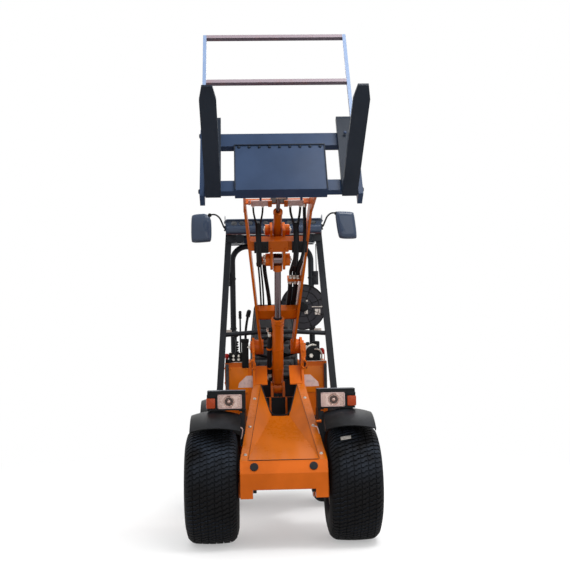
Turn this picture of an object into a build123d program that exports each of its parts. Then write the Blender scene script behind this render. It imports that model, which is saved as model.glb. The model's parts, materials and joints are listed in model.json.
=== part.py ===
from build123d import *
import math
import os

# Compact articulated wheel loader with pallet forks, boom raised.
# Frame: +X to the machine's left, +Y to its rear, +Z up, millimetres.
# While the pieces are made, y = 0 is the articulation pin. At the end the whole
# model is moved along Y, so that its origin is the middle of its base.

# ---- wheels -------------------------------------------------------------------
wheel_base = 1300
track = 815
tyre_radius = 330
tyre_width = 305
bead_radius = 158
tyre_shoulder = 46
rim_wall = 8
hub_face_x = 300
hub_radius = 92
hub_bolt_circle = 68
hub_bolt_radius = 7
hub_bolt_count = 5
motor_radius = 78
motor_inner_x = 176
axle_beam = 60

# ---- fits and clearances ------------------------------------------------------
pin_clearance = 0.05
face_gap = 0.3

# ---- front frame --------------------------------------------------------------
nose_half = 245
nose_top_y = -902
nose_top_z = 500
nose_crease_y = -940
nose_crease_z = 431
nose_bottom_z = 342
nose_back_y = -870
foot_width = 70
foot_bottom_z = 293
cap_radius = 23
cap_thick = 6
cap_x = 166
tower_half = 161
tower_plate = 15
tower_front_y = -300
tower_front_z = 890
tower_back_y = -95
tower_back_plate = 15
tower_base_z = 300
tower_shoulder_z = 1000
tower_web_inner = 70
tower_web_low = (-293, 895)
tower_web_high = (-165, 1003)
tower_web_thick = 8
side_plate = 12
cover_thick = 8
cover_flange = 50
valley_end_y = -450
valley_end_z = 708
valley_end_half = 53
belly_front_y = -560
wing_plate = 6
wing_half = 254
wing_low_z = 872
wing_high_z = 945
wing_y = -250

# ---- articulation -------------------------------------------------------------
steer_pin_radius = 25
lug_radius = 60
lug_thick = 30
lug_gap = 5
clevis_thick = 20
lug_levels = (345, 575)

# ---- boom ---------------------------------------------------------------------
pivot_y = -60
pivot_z = 1122
boom_angle = 52.0
boom_length = 1084
nose_angle = 3.0
nose_length = 409
boom_plate = 14
boom_half_pivot = 104
boom_half_knee = 195
boom_depth_pivot = 52
boom_depth_middle = 74
boom_depth_knee = 60
boom_tip_radius = 47
pivot_pin_radius = 25
pivot_boss_radius = 48
pivot_boss_inner = 88
cross_along = 60
cross_deep = 58
cross_low = (282, 0)
cross_high = (826, -45)
bracket_inner = 30
bracket_plate = 15
bracket_boss_end = 74
bracket_reach = 100
saddle_half = 60
saddle_plate = 12
saddle_lap = 8
upper_boss = (846, 72)
upper_boss_radius = 33
lift_eye = (697, -30)
tilt_base = (746, 75)

# ---- cylinders ----------------------------------------------------------------
lift_base_y = -70
lift_base_z = 860
lift_foot_drop = 60
lift_barrel_radius = 36
lift_barrel_length = 500
lift_rod_radius = 20
lift_eye_radius = 38
lift_eye_half = 25
lift_pin_radius = 16
tilt_barrel_radius = 25
tilt_barrel_length = 310
tilt_rod_radius = 12
tilt_eye_radius = 26
tilt_eye_half = 20
tilt_pin_radius = 12

# ---- hoses on the boom: (across the machine, along the boom, across the boom) --
line_radius = 5.5
supply_radius = 7
drain_radius = 10
rod_hose_radius = 12
sleeve_radius = 14
hose_high = boom_length - 12
hose_turn = boom_length - 82
hose_over = cross_high[0] + 40
hose_under = cross_high[0] - 38
hose_rise = (hose_turn + hose_over) / 2
hose_bracket = 528
hose_low = 215
hose_plate = 8
shelf_half = 150
left_line_outer = [(-144, hose_high, 20), (-144, hose_turn, 20), (-124, hose_rise, -26),
                   (-121, hose_over, -88), (-121, hose_under, -92), (-119, 700, -62),
                   (-114, 600, -15), (-108, 500, 20), (-104, 400, 42), (-100, 290, 50),
                   (-100, hose_low, 50)]
left_line_inner = [(-88, hose_high, 20), (-88, hose_turn, 20), (-107, hose_rise, -26),
                   (-109, hose_over, -88), (-108, hose_under, -92), (-105, 700, -62),
                   (-99, 600, -15), (-92, 500, 20), (-87, 400, 42), (-84, 290, 50),
                   (-84, hose_low, 50)]
rod_hose = [(-80, 668, 20), (-80, 600, 20), (-70, 510, 34), (-57, 410, 46), (-46, 300, 52),
            (-46, hose_low, 52)]
supply_inner = [(74, hose_high, 20), (74, hose_turn, 20), (98, hose_rise, -26),
                (100, hose_over, -92), (100, hose_under, -94), (97, 710, -64), (88, 635, -22),
                (82, 580, 14), (82, hose_bracket, 14)]
supply_outer = [(133, hose_high, 20), (133, hose_turn, 20), (116, hose_rise, -26),
                (115, hose_over, -92), (115, hose_under, -94), (114, 710, -64),
                (107, 635, -22), (104, 580, 14), (104, hose_bracket, 14)]
drain_hose = [(158, hose_high, 20), (158, hose_turn, 20), (160, hose_rise, -26),
              (156, hose_over, -96), (149, hose_under, -98), (139, 710, -66), (131, 635, -22),
              (127, 580, 14), (127, hose_bracket, 14)]
sleeve_inner = [(80, 520, 16), (80, 455, 16), (76, 370, 42), (70, 290, 54), (70, hose_low, 54)]
sleeve_outer = [(112, 520, 16), (112, 455, 16), (107, 370, 42), (99, 290, 54), (99, hose_low, 54)]
lift_hose_radius = 9
lift_hose_x = 50
lift_hose_span = (70, 425)

# ---- tool: coupler, carriage, forks -------------------------------------------
tool_tilt = 30.8
pin_up = 166
pin_back = 124.5
tilt_arm_up = 150
tilt_arm_back = 20
coupler_pin_radius = 20
coupler_ear = 13
coupler_ear_radius = 42
coupler_ear_gap = 4
coupler_half = 245
coupler_plate = 14
clevis_half = 24
lock_radius = 10
lock_half = 127
lock_body_half = 26
lock_body_radius = 17
lock_up = 70
lock_back = 76
fork_spread = 357
fork_width = 80
fork_thick = 38
fork_length = 800
fork_shank = 540
fork_tip_thick = 12
fork_tip_taper = 90
fork_tip_width = 50
carriage_half = 428
carriage_side = 26
carriage_side_top = 475
carriage_bar = 40
lower_bar = (42, 114)
upper_bar = (355, 445)
centre_plate_half = 247
centre_plate = 10
backrest_post = 20
backrest_bar = 25
backrest_half = 422
backrest_levels = (850, 1218)

# ---- fenders and lamps --------------------------------------------------------
fender_inner_x = 240
fender_outer_x = 526
fender_crown = 431
fender_edge = 407
fender_thick = 6
front_fender_sweep = (35, 50)
rear_fender_sweep = (50, 55)
lamp_box_inner = 208
lamp_box_outer = 430
lamp_box_low = 766
lamp_box_high = 877
lamp_box_y = -700
lamp_box_deep = 100
lamp_arm = 40
lamp_arm_plate = 8
lamp_arm_drop = 60
pad_half = 35
headlamp_inner = 230
headlamp_outer = 370
headlamp_low = 776
headlamp_high = 858
lens_thick = 14
indicator_width = 48

# ---- rear frame ---------------------------------------------------------------
rear_plate_half = 150
rear_side_plate = 20
rear_start_y = 160
rear_end_y = 1180
rear_low_z = 300
rear_top_z = 560
rear_top_plate = 12
rear_top_half = 227
floor_z = 640
floor_thick = 12
floor_half = 400
floor_front_y = 60
floor_step_y = 300
floor_back_y = 425
deck_z = 765
deck_thick = 12
deck_half = 400
deck_wall = 12
deck_end_y = 1200
weight_half = 250
weight_end_y = 1290
weight_low_z = 330
weight_high_z = 612
weight_chamfer = 40
hitch_plate = 15
hitch_gap = 32
hitch_z = 420
hitch_reach = 62
hitch_half = 45
hitch_bore = 13

# ---- engine and hood ----------------------------------------------------------
engine_half = 165
engine_front_y = 850
engine_back_y = 1130
engine_top_z = 855
hood_front_y = 762
hood_back_y = 1200
hood_half = 205
hood_high_z = 1020
hood_low_z = 640
hood_wall = 8
hood_hinge_y = 1212
hood_hinge_z = 648
hood_hinge_radius = 10
hood_knuckle = (130, 180)
hinge_pin_radius = 6
hinge_ear = 12
hood_edge = 40
hood_corner = 50
grille_half = 150
grille_low_z = 720
grille_high_z = 960
grille_bar = 10
grille_pitch = 26

# ---- operator's place ---------------------------------------------------------
console_inner = 165
console_outer = 345
console_front_y = 235
console_top_z = 1015
console_back_y = 740
console_seat_gap = 20
seat_half = 200
seat_front_y = 440
seat_base_top_z = 890
seat_top_z = 985
seat_back_y = 735
seat_back_top_z = 1438
seat_back_thick = 85
seat_back_lean = 30
seat_back_top_half = 150
seat_shoulder = 240
column_y = 300
column_top_y = 350
column_top_z = 1085
column_radius = 28
steering_wheel_radius = 165
steering_rim_radius = 13
steering_tilt = 25
steering_lift = 34
steering_spoke = 24
valve_height = 62
stick_height = 190
knob_radius = 22
lever_height = 300
lever_grip = 50
switch_box_height = 105

# ---- rollover frame and roof --------------------------------------------------
post_size = 42
post_foot = (392, 102)
post_head = (326, 200)
roof_low_z = 1880
roof_high_z = 1980
roof_front_y = 180
roof_back_y = 1000
roof_half = 325
roof_sheet = 8
roof_beam = 45
roof_slot_count = 11
roof_slot_length = 38
roof_slot_height = 26
roof_slot_z = 1956
hoop_radius = 21
hoop_y = 860
hoop_half = 292
hoop_corner = 110
crossbar_z = 1205
crossbar_radius = 15
cover_disc_radius = 168
cover_disc_thick = 45
cover_disc_x = 224
cover_disc_z = 1400
mirror_width = 142
mirror_height = 196
mirror_thick = 34
mirror_x = 487
mirror_z = 1928
mirror_y = 165
mirror_arm_radius = 8

# ---- derived places -----------------------------------------------------------
front_axle_y = -wheel_base / 2
rear_axle_y = wheel_base / 2
tyre_x = track / 2



def ahead(start, angle, length):
    """(y, z) reached from start by going forward at this angle above level."""
    turn = math.radians(angle)
    return (start[0] - length * math.cos(turn), start[1] + length * math.sin(turn))


def on_boom(along, across):
    """(y, z) of a point by its length along the boom and its height across it."""
    return ahead(ahead(pivot, boom_angle, along), boom_angle - 90, -across)


def on_tool(up, back):
    """(y, z) of a point by its height up the carriage and depth behind the forks."""
    lean = math.radians(tool_tilt)
    return (tool_heel[0] + up * math.sin(lean) + back * math.cos(lean),
            tool_heel[1] + up * math.cos(lean) - back * math.sin(lean))


pivot = (pivot_y, pivot_z)
knee = ahead(pivot, boom_angle, boom_length)
tool_pin = ahead(knee, nose_angle, nose_length)
tool_heel = (0, 0)
heel_offset = on_tool(pin_up, pin_back)
tool_heel = (tool_pin[0] - heel_offset[0], tool_pin[1] - heel_offset[1])
tilt_eye = on_tool(pin_up + tilt_arm_up, pin_back + tilt_arm_back)
lift_foot = (lift_base_y, lift_base_z)
lift_head = on_boom(*lift_eye)
tilt_foot = on_boom(*tilt_base)
cover_slope = (tower_front_z - nose_top_z) / (tower_front_y - nose_top_y)
boom_splay = (boom_half_knee - boom_half_pivot) / boom_length


def cover_z(y):
    """Height of the sloping hood cover's outer edge."""
    return nose_top_z + cover_slope * (y - nose_top_y)


def frame_half(y):
    """Half width of the tapering front frame."""
    share = (y - tower_front_y) / (nose_top_y - tower_front_y)
    return tower_half + share * (nose_half - tower_half)


# ---- shapes used by many pieces -----------------------------------------------
def block(x, y, z):
    """Box from three (low, high) pairs."""
    size = [high - low for low, high in (x, y, z)]
    middle = [(high + low) / 2 for low, high in (x, y, z)]
    return Pos(*middle) * Box(*size)


def plate(x, outline):
    """Plate of a (y, z) outline, from x[0] to x[1]."""
    return extrude(Plane.YZ.offset(x[0]) * Polygon(*outline, align=None), x[1] - x[0], dir=(1, 0, 0))


def flat(z, outline):
    """Level plate of an (x, y) outline, from z[0] to z[1]."""
    return extrude(Plane.XY.offset(z[0]) * Polygon(*outline, align=None), z[1] - z[0], dir=(0, 0, 1))


def across(x, centre, radius):
    """Cylinder along X between two x values, about a (y, z) centre."""
    middle = Pos((x[0] + x[1]) / 2, *centre)
    return middle * Rot(0, 90, 0) * Cylinder(radius, x[1] - x[0])


def upright(centre, z, radius):
    """Vertical cylinder about an (x, y) centre."""
    return Pos(*centre, (z[0] + z[1]) / 2) * Cylinder(radius, z[1] - z[0])


def between(start, end, radius):
    """Round bar between two points in space."""
    line = Edge.make_line(start, end)
    return Plane(origin=line.center(), z_dir=line.tangent_at(0)) * Cylinder(radius, line.length)


def facet(points, depth):
    """Sheet under a flat polygon in space, thick along Z."""
    return extrude(make_face(Polyline(*points, close=True)), depth, dir=(0, 0, -1))


def both(piece):
    """The piece and its mirror image across the machine."""
    return piece + mirror(piece, about=Plane.YZ)


def pair(low, high):
    """The same span of x on both sides, as one call for each side."""
    return ((low, high), (-high, -low))


TOOL = Plane(origin=(0, *tool_heel), z_dir=(1, 0, 0),
             x_dir=(0, math.cos(math.radians(tool_tilt)), -math.sin(math.radians(tool_tilt))))
BOOM = Plane(origin=(0, *pivot), z_dir=(-1, 0, 0),
             x_dir=(0, -math.cos(math.radians(boom_angle)), math.sin(math.radians(boom_angle))))


def tool_block(x, back, up):
    """Box on the carriage, from spans of x, depth and height."""
    return TOOL * block(back, up, x)


def tool_plate(x, outline):
    """Plate on the carriage from a (back, up) outline."""
    return TOOL * Pos(0, 0, x[0]) * extrude(Polygon(*outline, align=None), x[1] - x[0], dir=(0, 0, 1))


def boom_block(x, along, over):
    """Box on the boom, from spans of x, length and height across."""
    return BOOM * block(along, over, (-x[1], -x[0]))


def hose(route, radius):
    """Hose along straight runs joined by tangent arcs, each as large as its runs allow."""
    points = [Vector(*spot) for spot in route]
    radii = []
    for before, corner, after in zip(points, points[1:], points[2:]):
        turn = (corner - before).get_angle(after - corner)
        shorter = min((corner - before).length, (after - corner).length)
        radii.append(0.45 * shorter / math.tan(math.radians(turn / 2)))
    path = FilletPolyline(*points, radius=radii)
    tube = sweep(Plane(origin=path @ 0, z_dir=path % 0) * Circle(radius), path)
    share = tube.volume / (math.pi * radius ** 2 * path.length)
    print("hose", round(path.length), "mm, volume share", round(share, 4), "radii", [round(r) for r in radii])
    return tube


def boom_hoses(*hoses):
    """Hoses whose routes are given on the boom, as (x, along, across)."""
    piece = None
    for route, radius in hoses:
        tube = hose([(x, *on_boom(along, over)) for x, along, over in route], radius)
        piece = tube if piece is None else piece + tube
    return piece


# ---- wheels -------------------------------------------------------------------
def tyre(centre):
    """Low, wide tyre with rounded shoulders, a solid ring round the rim."""
    half = tyre_width / 2
    wall = tyre_shoulder
    top = tyre_radius
    outline = Polyline(
        (-half + 22, bead_radius), (half - 22, bead_radius),
        (half, bead_radius + 62), (half, top - wall)) + ThreePointArc(
        (half, top - wall), (half - wall * 0.3, top - wall * 0.34), (half - wall, top - 5)) + ThreePointArc(
        (half - wall, top - 5), (0, top), (-half + wall, top - 5)) + ThreePointArc(
        (-half + wall, top - 5), (-half + wall * 0.3, top - wall * 0.34), (-half, top - wall)) + Polyline(
        (-half, top - wall), (-half, bead_radius + 62), (-half + 22, bead_radius))
    ring = revolve(Plane.XY * make_face(outline), Axis.X)
    return Pos(*centre) * ring


def rim(centre, side):
    """Steel rim with its disc, hub and bolts. side is 1 on the left, -1 on the right."""
    half = tyre_width / 2 - 22
    face = hub_face_x - tyre_x
    well = bead_radius - 34
    barrel = Polygon(
        (-half, bead_radius), (-half + 40, bead_radius), (-half + 58, well + rim_wall),
        (half - 58, well + rim_wall), (half - 40, bead_radius), (half, bead_radius),
        (half, bead_radius - rim_wall), (half - 44, bead_radius - rim_wall), (half - 62, well),
        (-half + 62, well), (-half + 44, bead_radius - rim_wall), (-half, bead_radius - rim_wall),
        align=None)
    wheel = revolve(barrel, Axis.X)
    disc_outer = face + 46
    disc = Polygon(
        (face, 0), (face, hub_radius), (disc_outer - 10, well + rim_wall / 2),
        (disc_outer, well + rim_wall / 2), (face + 12, hub_radius + 4), (face + 12, 58),
        (face + 40, 50), (face + 44, 0), align=None)
    wheel += revolve(disc, Axis.X)
    nut = Rot(0, 90, 0) * Cylinder(hub_bolt_radius, 18)
    for count in range(hub_bolt_count):
        turn = math.radians(360 / hub_bolt_count * count + 90)
        spot = (hub_bolt_circle * math.cos(turn), hub_bolt_circle * math.sin(turn))
        wheel += Pos(face + 18, *spot) * nut
    if side < 0:
        wheel = mirror(wheel, about=Plane.YZ)
    return Pos(*centre) * wheel


def axle(y):
    """Cross beam with a wheel motor at each end."""
    beam = axle_beam / 2
    piece = block((-motor_inner_x, motor_inner_x), (y - beam, y + beam),
                  (tyre_radius - beam, tyre_radius + beam))
    for span in pair(motor_inner_x, hub_face_x - 40):
        piece += across(span, (y, tyre_radius), motor_radius)
    for span in pair(hub_face_x - 40, hub_face_x - face_gap):
        piece += across(span, (y, tyre_radius), hub_radius - 12)
    return piece


# ---- front frame --------------------------------------------------------------
def tower_outline():
    """Side view of the boom's tower, round about the boom pivot."""
    return [(tower_front_y, tower_base_z), (tower_front_y, tower_front_z - cover_thick),
            (pivot_y - 112, pivot_z - 10), (pivot_y - 60, pivot_z + 40), (pivot_y - 25, pivot_z + 60),
            (pivot_y + 25, pivot_z + 60), (pivot_y + 58, pivot_z + 20), (pivot_y + 58, tower_shoulder_z),
            (tower_back_y, tower_shoulder_z - 150), (tower_back_y, tower_base_z)]


def frame_plan(side):
    """Plan of one half of the tapering front frame, out to its side plate's outer face."""
    return [(0, nose_back_y), (side * frame_half(nose_back_y), nose_back_y),
            (side * tower_half, tower_front_y), (0, tower_front_y)]


def front_frame():
    """Tapering side plates, boom tower, belly plate and the two front hinge lugs."""
    inner = tower_half - tower_plate
    piece = None
    for x in pair(inner, tower_half):
        wall = plate(x, tower_outline())
        piece = wall if piece is None else piece + wall
    sides = plate((0, nose_half), [
        (nose_back_y, foot_bottom_z + 40), (nose_back_y, cover_z(nose_back_y) - cover_thick),
        (tower_front_y, tower_front_z - cover_thick), (tower_front_y, tower_base_z),
        (nose_back_y + 60, tower_base_z)])
    strip = [(frame_half(nose_back_y) - side_plate, nose_back_y), (frame_half(nose_back_y), nose_back_y),
             (tower_half, tower_front_y), (tower_half - side_plate, tower_front_y)]
    side = sides & flat((0, pivot_z), strip)
    side -= across((0, nose_half), (front_axle_y, tyre_radius), motor_radius)
    belly = flat((tower_base_z, tower_base_z + side_plate), [
        (side_plate - frame_half(belly_front_y), belly_front_y),
        (frame_half(belly_front_y) - side_plate, belly_front_y), (inner, tower_front_y),
        (inner, tower_back_y), (-inner, tower_back_y), (-inner, tower_front_y)])
    back = block((-inner, inner), (tower_back_y - tower_back_plate, tower_back_y),
                 (tower_base_z, lift_base_z - lift_foot_drop))
    low, high = tower_web_low, tower_web_high
    web = plate((tower_web_inner, inner), [
        low, high, (high[0], high[1] - tower_web_thick), (low[0], low[1] - tower_web_thick)])
    piece = piece + both(side) + belly + back + both(web)
    for level in lug_levels:
        lug = flat((level - lug_thick / 2, level + lug_thick / 2), [
            (-lug_radius - 30, tower_back_y), (lug_radius + 30, tower_back_y),
            (lug_radius, 0), (-lug_radius, 0)])
        lug += upright((0, 0), (level - lug_thick / 2, level + lug_thick / 2), lug_radius)
        lug -= upright((0, 0), (level - lug_thick, level + lug_thick), steer_pin_radius + pin_clearance)
        piece += lug
    for x in pair(lift_eye_half + 4, lift_eye_half + 20):
        ear = plate(x, [(tower_back_y - tower_back_plate, lift_base_z - 2 * lift_foot_drop),
                        (tower_back_y, lift_base_z - 2 * lift_foot_drop),
                        (lift_base_y + lift_eye_radius, lift_base_z - 12),
                        (lift_base_y, lift_base_z + 10), (lift_base_y - lift_eye_radius, lift_base_z)])
        piece += ear + across(x, lift_foot, lift_eye_radius)
    piece += across((-lift_eye_half - 20, lift_eye_half + 20), lift_foot, lift_pin_radius)
    for x in pair(pivot_boss_inner, tower_half + 8):
        piece += across(x, pivot, pivot_pin_radius)
    for x in pair(tower_half, tower_half + 12):
        piece += across(x, pivot, pivot_pin_radius + 14)
    return piece


def hood_cover():
    """Folded cover: side flanges, a valley for the lift cylinder and its facets."""
    piece = None
    top_y = tower_front_y
    for side in (1, -1):
        outer_low = (side * nose_half, nose_top_y, nose_top_z)
        outer_top = (side * tower_half, top_y, cover_z(top_y))
        inner_top = (side * (tower_half - cover_flange), top_y, cover_z(top_y))
        inner_low = (side * (nose_half - cover_flange + 10), nose_top_y, nose_top_z)
        valley_end = (side * valley_end_half, valley_end_y, valley_end_z)
        flange = facet([outer_low, outer_top, inner_top, inner_low], cover_thick)
        cheek = facet([inner_low, inner_top, valley_end], cover_thick)
        piece = flange + cheek if piece is None else piece + flange + cheek
    low_half = nose_half - cover_flange + 10
    floor = facet([(-low_half, nose_top_y, nose_top_z), (low_half, nose_top_y, nose_top_z),
                   (valley_end_half, valley_end_y, valley_end_z),
                   (-valley_end_half, valley_end_y, valley_end_z)], cover_thick)
    return piece + floor


def nose_box():
    """Heavy front cross box with a foot at each end."""
    piece = plate((-nose_half, nose_half), [
        (nose_top_y, nose_top_z), (nose_crease_y, nose_crease_z), (nose_crease_y, nose_bottom_z),
        (nose_back_y, nose_bottom_z), (nose_back_y, nose_top_z - 12), (nose_top_y, nose_top_z - 12)])
    for x in pair(nose_half - foot_width, nose_half):
        piece += block(x, (nose_crease_y, nose_back_y), (foot_bottom_z, nose_bottom_z))
    return piece


def nose_caps():
    """Two rubber stops on the leaning strip of the nose."""
    fall = (nose_crease_y - nose_top_y, nose_crease_z - nose_top_z)
    spot = ((nose_crease_y + nose_top_y) / 2, (nose_crease_z + nose_top_z) / 2)
    piece = None
    for x in (cap_x, -cap_x):
        seat = Plane(origin=(x, *spot), z_dir=(0, fall[1], -fall[0]))
        cap = seat * Pos(0, 0, cap_thick / 2) * Cylinder(cap_radius, cap_thick)
        piece = cap if piece is None else piece + cap
    return piece


def tower_wings():
    """Small leaning plates at both sides of the tower."""
    outline = [(tower_half, wing_low_z), (wing_half, wing_low_z), (wing_half - 6, wing_low_z + 28),
               (wing_half - 53, wing_high_z), (tower_half, wing_high_z)]
    face = Plane.XZ.offset(-wing_y) * Polygon(*outline, align=None)
    return both(extrude(face, wing_plate, dir=(0, 1, 0)))


def fender(axle_y, sweep):
    """Crowned plastic fender, turned about the axle from front to back."""
    middle = (fender_inner_x + fender_outer_x) / 2
    inner = fender_thick
    lip = fender_edge - 3 * inner
    near, far = fender_inner_x, fender_outer_x
    profile = ThreePointArc((near, fender_edge), (middle, fender_crown), (far, fender_edge))
    profile += Polyline((far, fender_edge), (far, lip), (far - inner, lip),
                        (far - inner, fender_edge - inner))
    profile += ThreePointArc((far - inner, fender_edge - inner), (middle, fender_crown - inner),
                             (near + inner, fender_edge - inner))
    profile += Polyline((near + inner, fender_edge - inner), (near + inner, lip), (near, lip),
                        (near, fender_edge))
    shell = revolve(make_face(profile), Axis.X, sum(sweep))
    shell = Rot(90 - sweep[1], 0, 0) * shell
    return Pos(0, axle_y, tyre_radius) * shell


def fender_form(axle_y):
    """What a left fender's outer skin encloses, to seat brackets on it."""
    middle = (fender_inner_x + fender_outer_x) / 2
    near, far = fender_inner_x, fender_outer_x
    profile = ThreePointArc((near, fender_edge), (middle, fender_crown), (far, fender_edge))
    profile += Polyline((far, fender_edge), (far, 0), (near, 0), (near, fender_edge))
    return Pos(0, axle_y, tyre_radius) * revolve(make_face(profile), Axis.X)


def fender_pad(axle_y, top):
    """Block from a left fender's crown up to what carries it."""
    middle = (fender_inner_x + fender_outer_x) / 2
    x = (middle - pad_half, middle + pad_half)
    pad = block(x, (axle_y - pad_half, axle_y + pad_half), (tyre_radius + fender_edge, top))
    return pad - fender_form(axle_y)


def front_fenders():
    return both(fender(front_axle_y, front_fender_sweep))


def lamp_boxes():
    """Black boxes that hold headlamp and indicator, with their brackets."""
    y = (lamp_box_y, lamp_box_y + lamp_box_deep)
    box = block((lamp_box_inner, lamp_box_outer), y, (lamp_box_low, lamp_box_high))
    lens = lens_thick / 2
    box -= block((headlamp_inner, headlamp_outer), (y[0], y[0] + lens), (headlamp_low, headlamp_high))
    corner = lamp_box_outer - indicator_width
    box -= block((corner, lamp_box_outer), (y[0], y[0] + lamp_box_deep / 2), (headlamp_low, headlamp_high))
    low = cover_z(y[0]) - lamp_arm_drop
    deep = (y[0] + 20, y[1] - 10)
    under = lamp_box_low - lamp_arm_plate
    arm = block((0, lamp_box_inner + lamp_arm), deep, (under, lamp_box_low))
    arm += block((0, nose_half - 15), deep, (low, under))
    arm -= flat((0, pivot_z), frame_plan(1))
    return both(box + arm + fender_pad(front_axle_y, lamp_box_low))


def headlamps():
    y = (lamp_box_y - lens_thick / 2, lamp_box_y + lens_thick / 2)
    lamp = block((headlamp_inner, headlamp_outer), y, (headlamp_low, headlamp_high))
    return both(fillet(lamp.edges().filter_by(Axis.Y), 10))


def indicators():
    corner = lamp_box_outer - indicator_width
    y = (lamp_box_y - lens_thick / 2, lamp_box_y + lamp_box_deep / 2)
    return both(block((corner, lamp_box_outer + lens_thick / 2), y, (headlamp_low, headlamp_high)))


# ---- boom ---------------------------------------------------------------------
def boom():
    """Two splayed plates with a bent nose, joined by two cross boxes."""
    splay = math.degrees(math.atan(boom_splay))
    stretch = math.sqrt(1 + boom_splay ** 2)
    main = Polygon(
        (0, -boom_depth_pivot), (boom_length * 0.7 * stretch, -boom_depth_middle),
        (boom_length * stretch, -boom_depth_knee), (boom_length * stretch, boom_depth_knee),
        (boom_length * 0.5 * stretch, boom_depth_middle), (0, boom_depth_pivot), align=None)
    side = BOOM * Pos(0, 0, -boom_half_pivot) * Rot(0, splay, 0) * extrude(main, boom_plate / 2, both=True)
    x = (boom_half_knee - boom_plate / 2, boom_half_knee + boom_plate / 2)
    side += across(x, knee, boom_depth_knee)
    lift = math.radians(nose_angle)
    over = (math.sin(lift), math.cos(lift))
    side += plate(x, [
        (knee[0] + over[0] * boom_depth_knee, knee[1] + over[1] * boom_depth_knee),
        (tool_pin[0] + over[0] * boom_tip_radius, tool_pin[1] + over[1] * boom_tip_radius),
        (tool_pin[0] - over[0] * boom_tip_radius, tool_pin[1] - over[1] * boom_tip_radius),
        (knee[0] - over[0] * boom_depth_knee, knee[1] - over[1] * boom_depth_knee)])
    side += across(x, tool_pin, boom_tip_radius)
    side += across((pivot_boss_inner, tower_half - tower_plate - face_gap), pivot, pivot_boss_radius)
    side -= across((0, nose_half), pivot, pivot_pin_radius + pin_clearance)
    side -= across((0, nose_half), tool_pin, coupler_pin_radius + pin_clearance)
    piece = both(side)
    for along, over in (cross_low, cross_high):
        half = boom_half_pivot + boom_splay * (along - cross_along / 2) - boom_plate / 2 + 3
        piece += boom_block((-half, half), (along - cross_along / 2, along + cross_along / 2),
                            (over - cross_deep / 2, over + cross_deep / 2))
    piece += boom_block((-boom_half_knee, boom_half_knee), (hose_high, hose_high + hose_plate), (-10, 45))
    bracket = (hose_bracket - hose_plate, hose_bracket)
    piece += boom_block((62, shelf_half), bracket, (-10, 45))
    low = cross_low[0] - cross_along / 2
    for span in ((-114, -24), (46, 114)):
        piece += boom_block(span, (hose_low - hose_plate, hose_low), (20, 76))
        piece += boom_block(span, (hose_low - hose_plate, low + 2), (20, cross_deep / 2))
    return piece


def boom_bracket():
    """Cheek plates on the upper cross box that hold both cylinders' pins."""
    low_x = lift_eye[0] - 58
    high_x = cross_high[0] - cross_along / 2
    top = tilt_base[1] + 45
    bottom = lift_eye[1] - 48
    over_bar = cross_high[1] + cross_deep / 2
    end_x = high_x + bracket_reach
    outline = [(low_x, bottom + 25), (low_x + 28, bottom), (high_x, bottom), (high_x, over_bar),
               (end_x, over_bar), (end_x, top - 45), (end_x - 40, top - 10), (high_x - 35, top),
               (low_x + 45, top), (low_x, top - 70)]
    piece = None
    for x in pair(bracket_inner, bracket_inner + bracket_plate):
        profile = Polygon(*outline, align=None)
        cheek = BOOM * Pos(0, 0, x[0]) * extrude(profile, bracket_plate, dir=(0, 0, 1))
        piece = cheek if piece is None else piece + cheek
    for x in pair(bracket_inner, bracket_boss_end):
        piece += across(x, lift_head, lift_eye_radius)
        piece += across(x, tilt_foot, tilt_eye_radius + 2)
        piece += across(x, on_boom(*upper_boss), upper_boss_radius)
    piece += across((-bracket_inner, bracket_inner), tilt_foot, tilt_pin_radius)
    under_bar = cross_high[1] - cross_deep / 2
    saddle = boom_block(
        (-saddle_half, saddle_half), (high_x - saddle_lap, high_x + cross_along + saddle_lap),
        (under_bar - saddle_plate, under_bar))
    saddle += boom_block(
        (-saddle_half, saddle_half), (high_x - saddle_lap, high_x), (under_bar - saddle_plate, over_bar))
    piece += saddle
    shelf = (rod_hose[0][1], rod_hose[0][1] + hose_plate)
    return piece + boom_block((-98, -bracket_inner - bracket_plate / 2), shelf, (0, 42))


# ---- cylinders ----------------------------------------------------------------
def cylinder_barrel(foot, head, length, radius, rod, eye, eye_half, pin):
    """Barrel with a base eye at foot, pointing at head, hollow for its rod."""
    reach = math.dist(foot, head)
    step = ((head[0] - foot[0]) / reach, (head[1] - foot[1]) / reach)

    def at(distance):
        return (0, foot[0] + step[0] * distance, foot[1] + step[1] * distance)

    piece = between(at(eye + 8), at(length), radius) + across((-eye_half, eye_half), foot, eye)
    piece += between(at(eye * 0.5), at(eye + 9), eye_half)
    piece += between(at(length - radius * 0.7), at(length), radius * 1.12)
    piece -= between(at(eye + radius + 10), at(length + 1), rod + pin_clearance)
    piece -= across((-radius * 2, radius * 2), foot, pin + pin_clearance)
    return piece


def cylinder_rod(foot, head, inside, rod, eye, eye_half):
    """Rod from inside the barrel to its eye at head, with a short pin in the eye."""
    reach = math.dist(foot, head)
    step = ((head[0] - foot[0]) / reach, (head[1] - foot[1]) / reach)
    start = (0, foot[0] + step[0] * inside, foot[1] + step[1] * inside)
    piece = between(start, (0, *head), rod) + across((-eye_half, eye_half), head, eye)
    return piece


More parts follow.
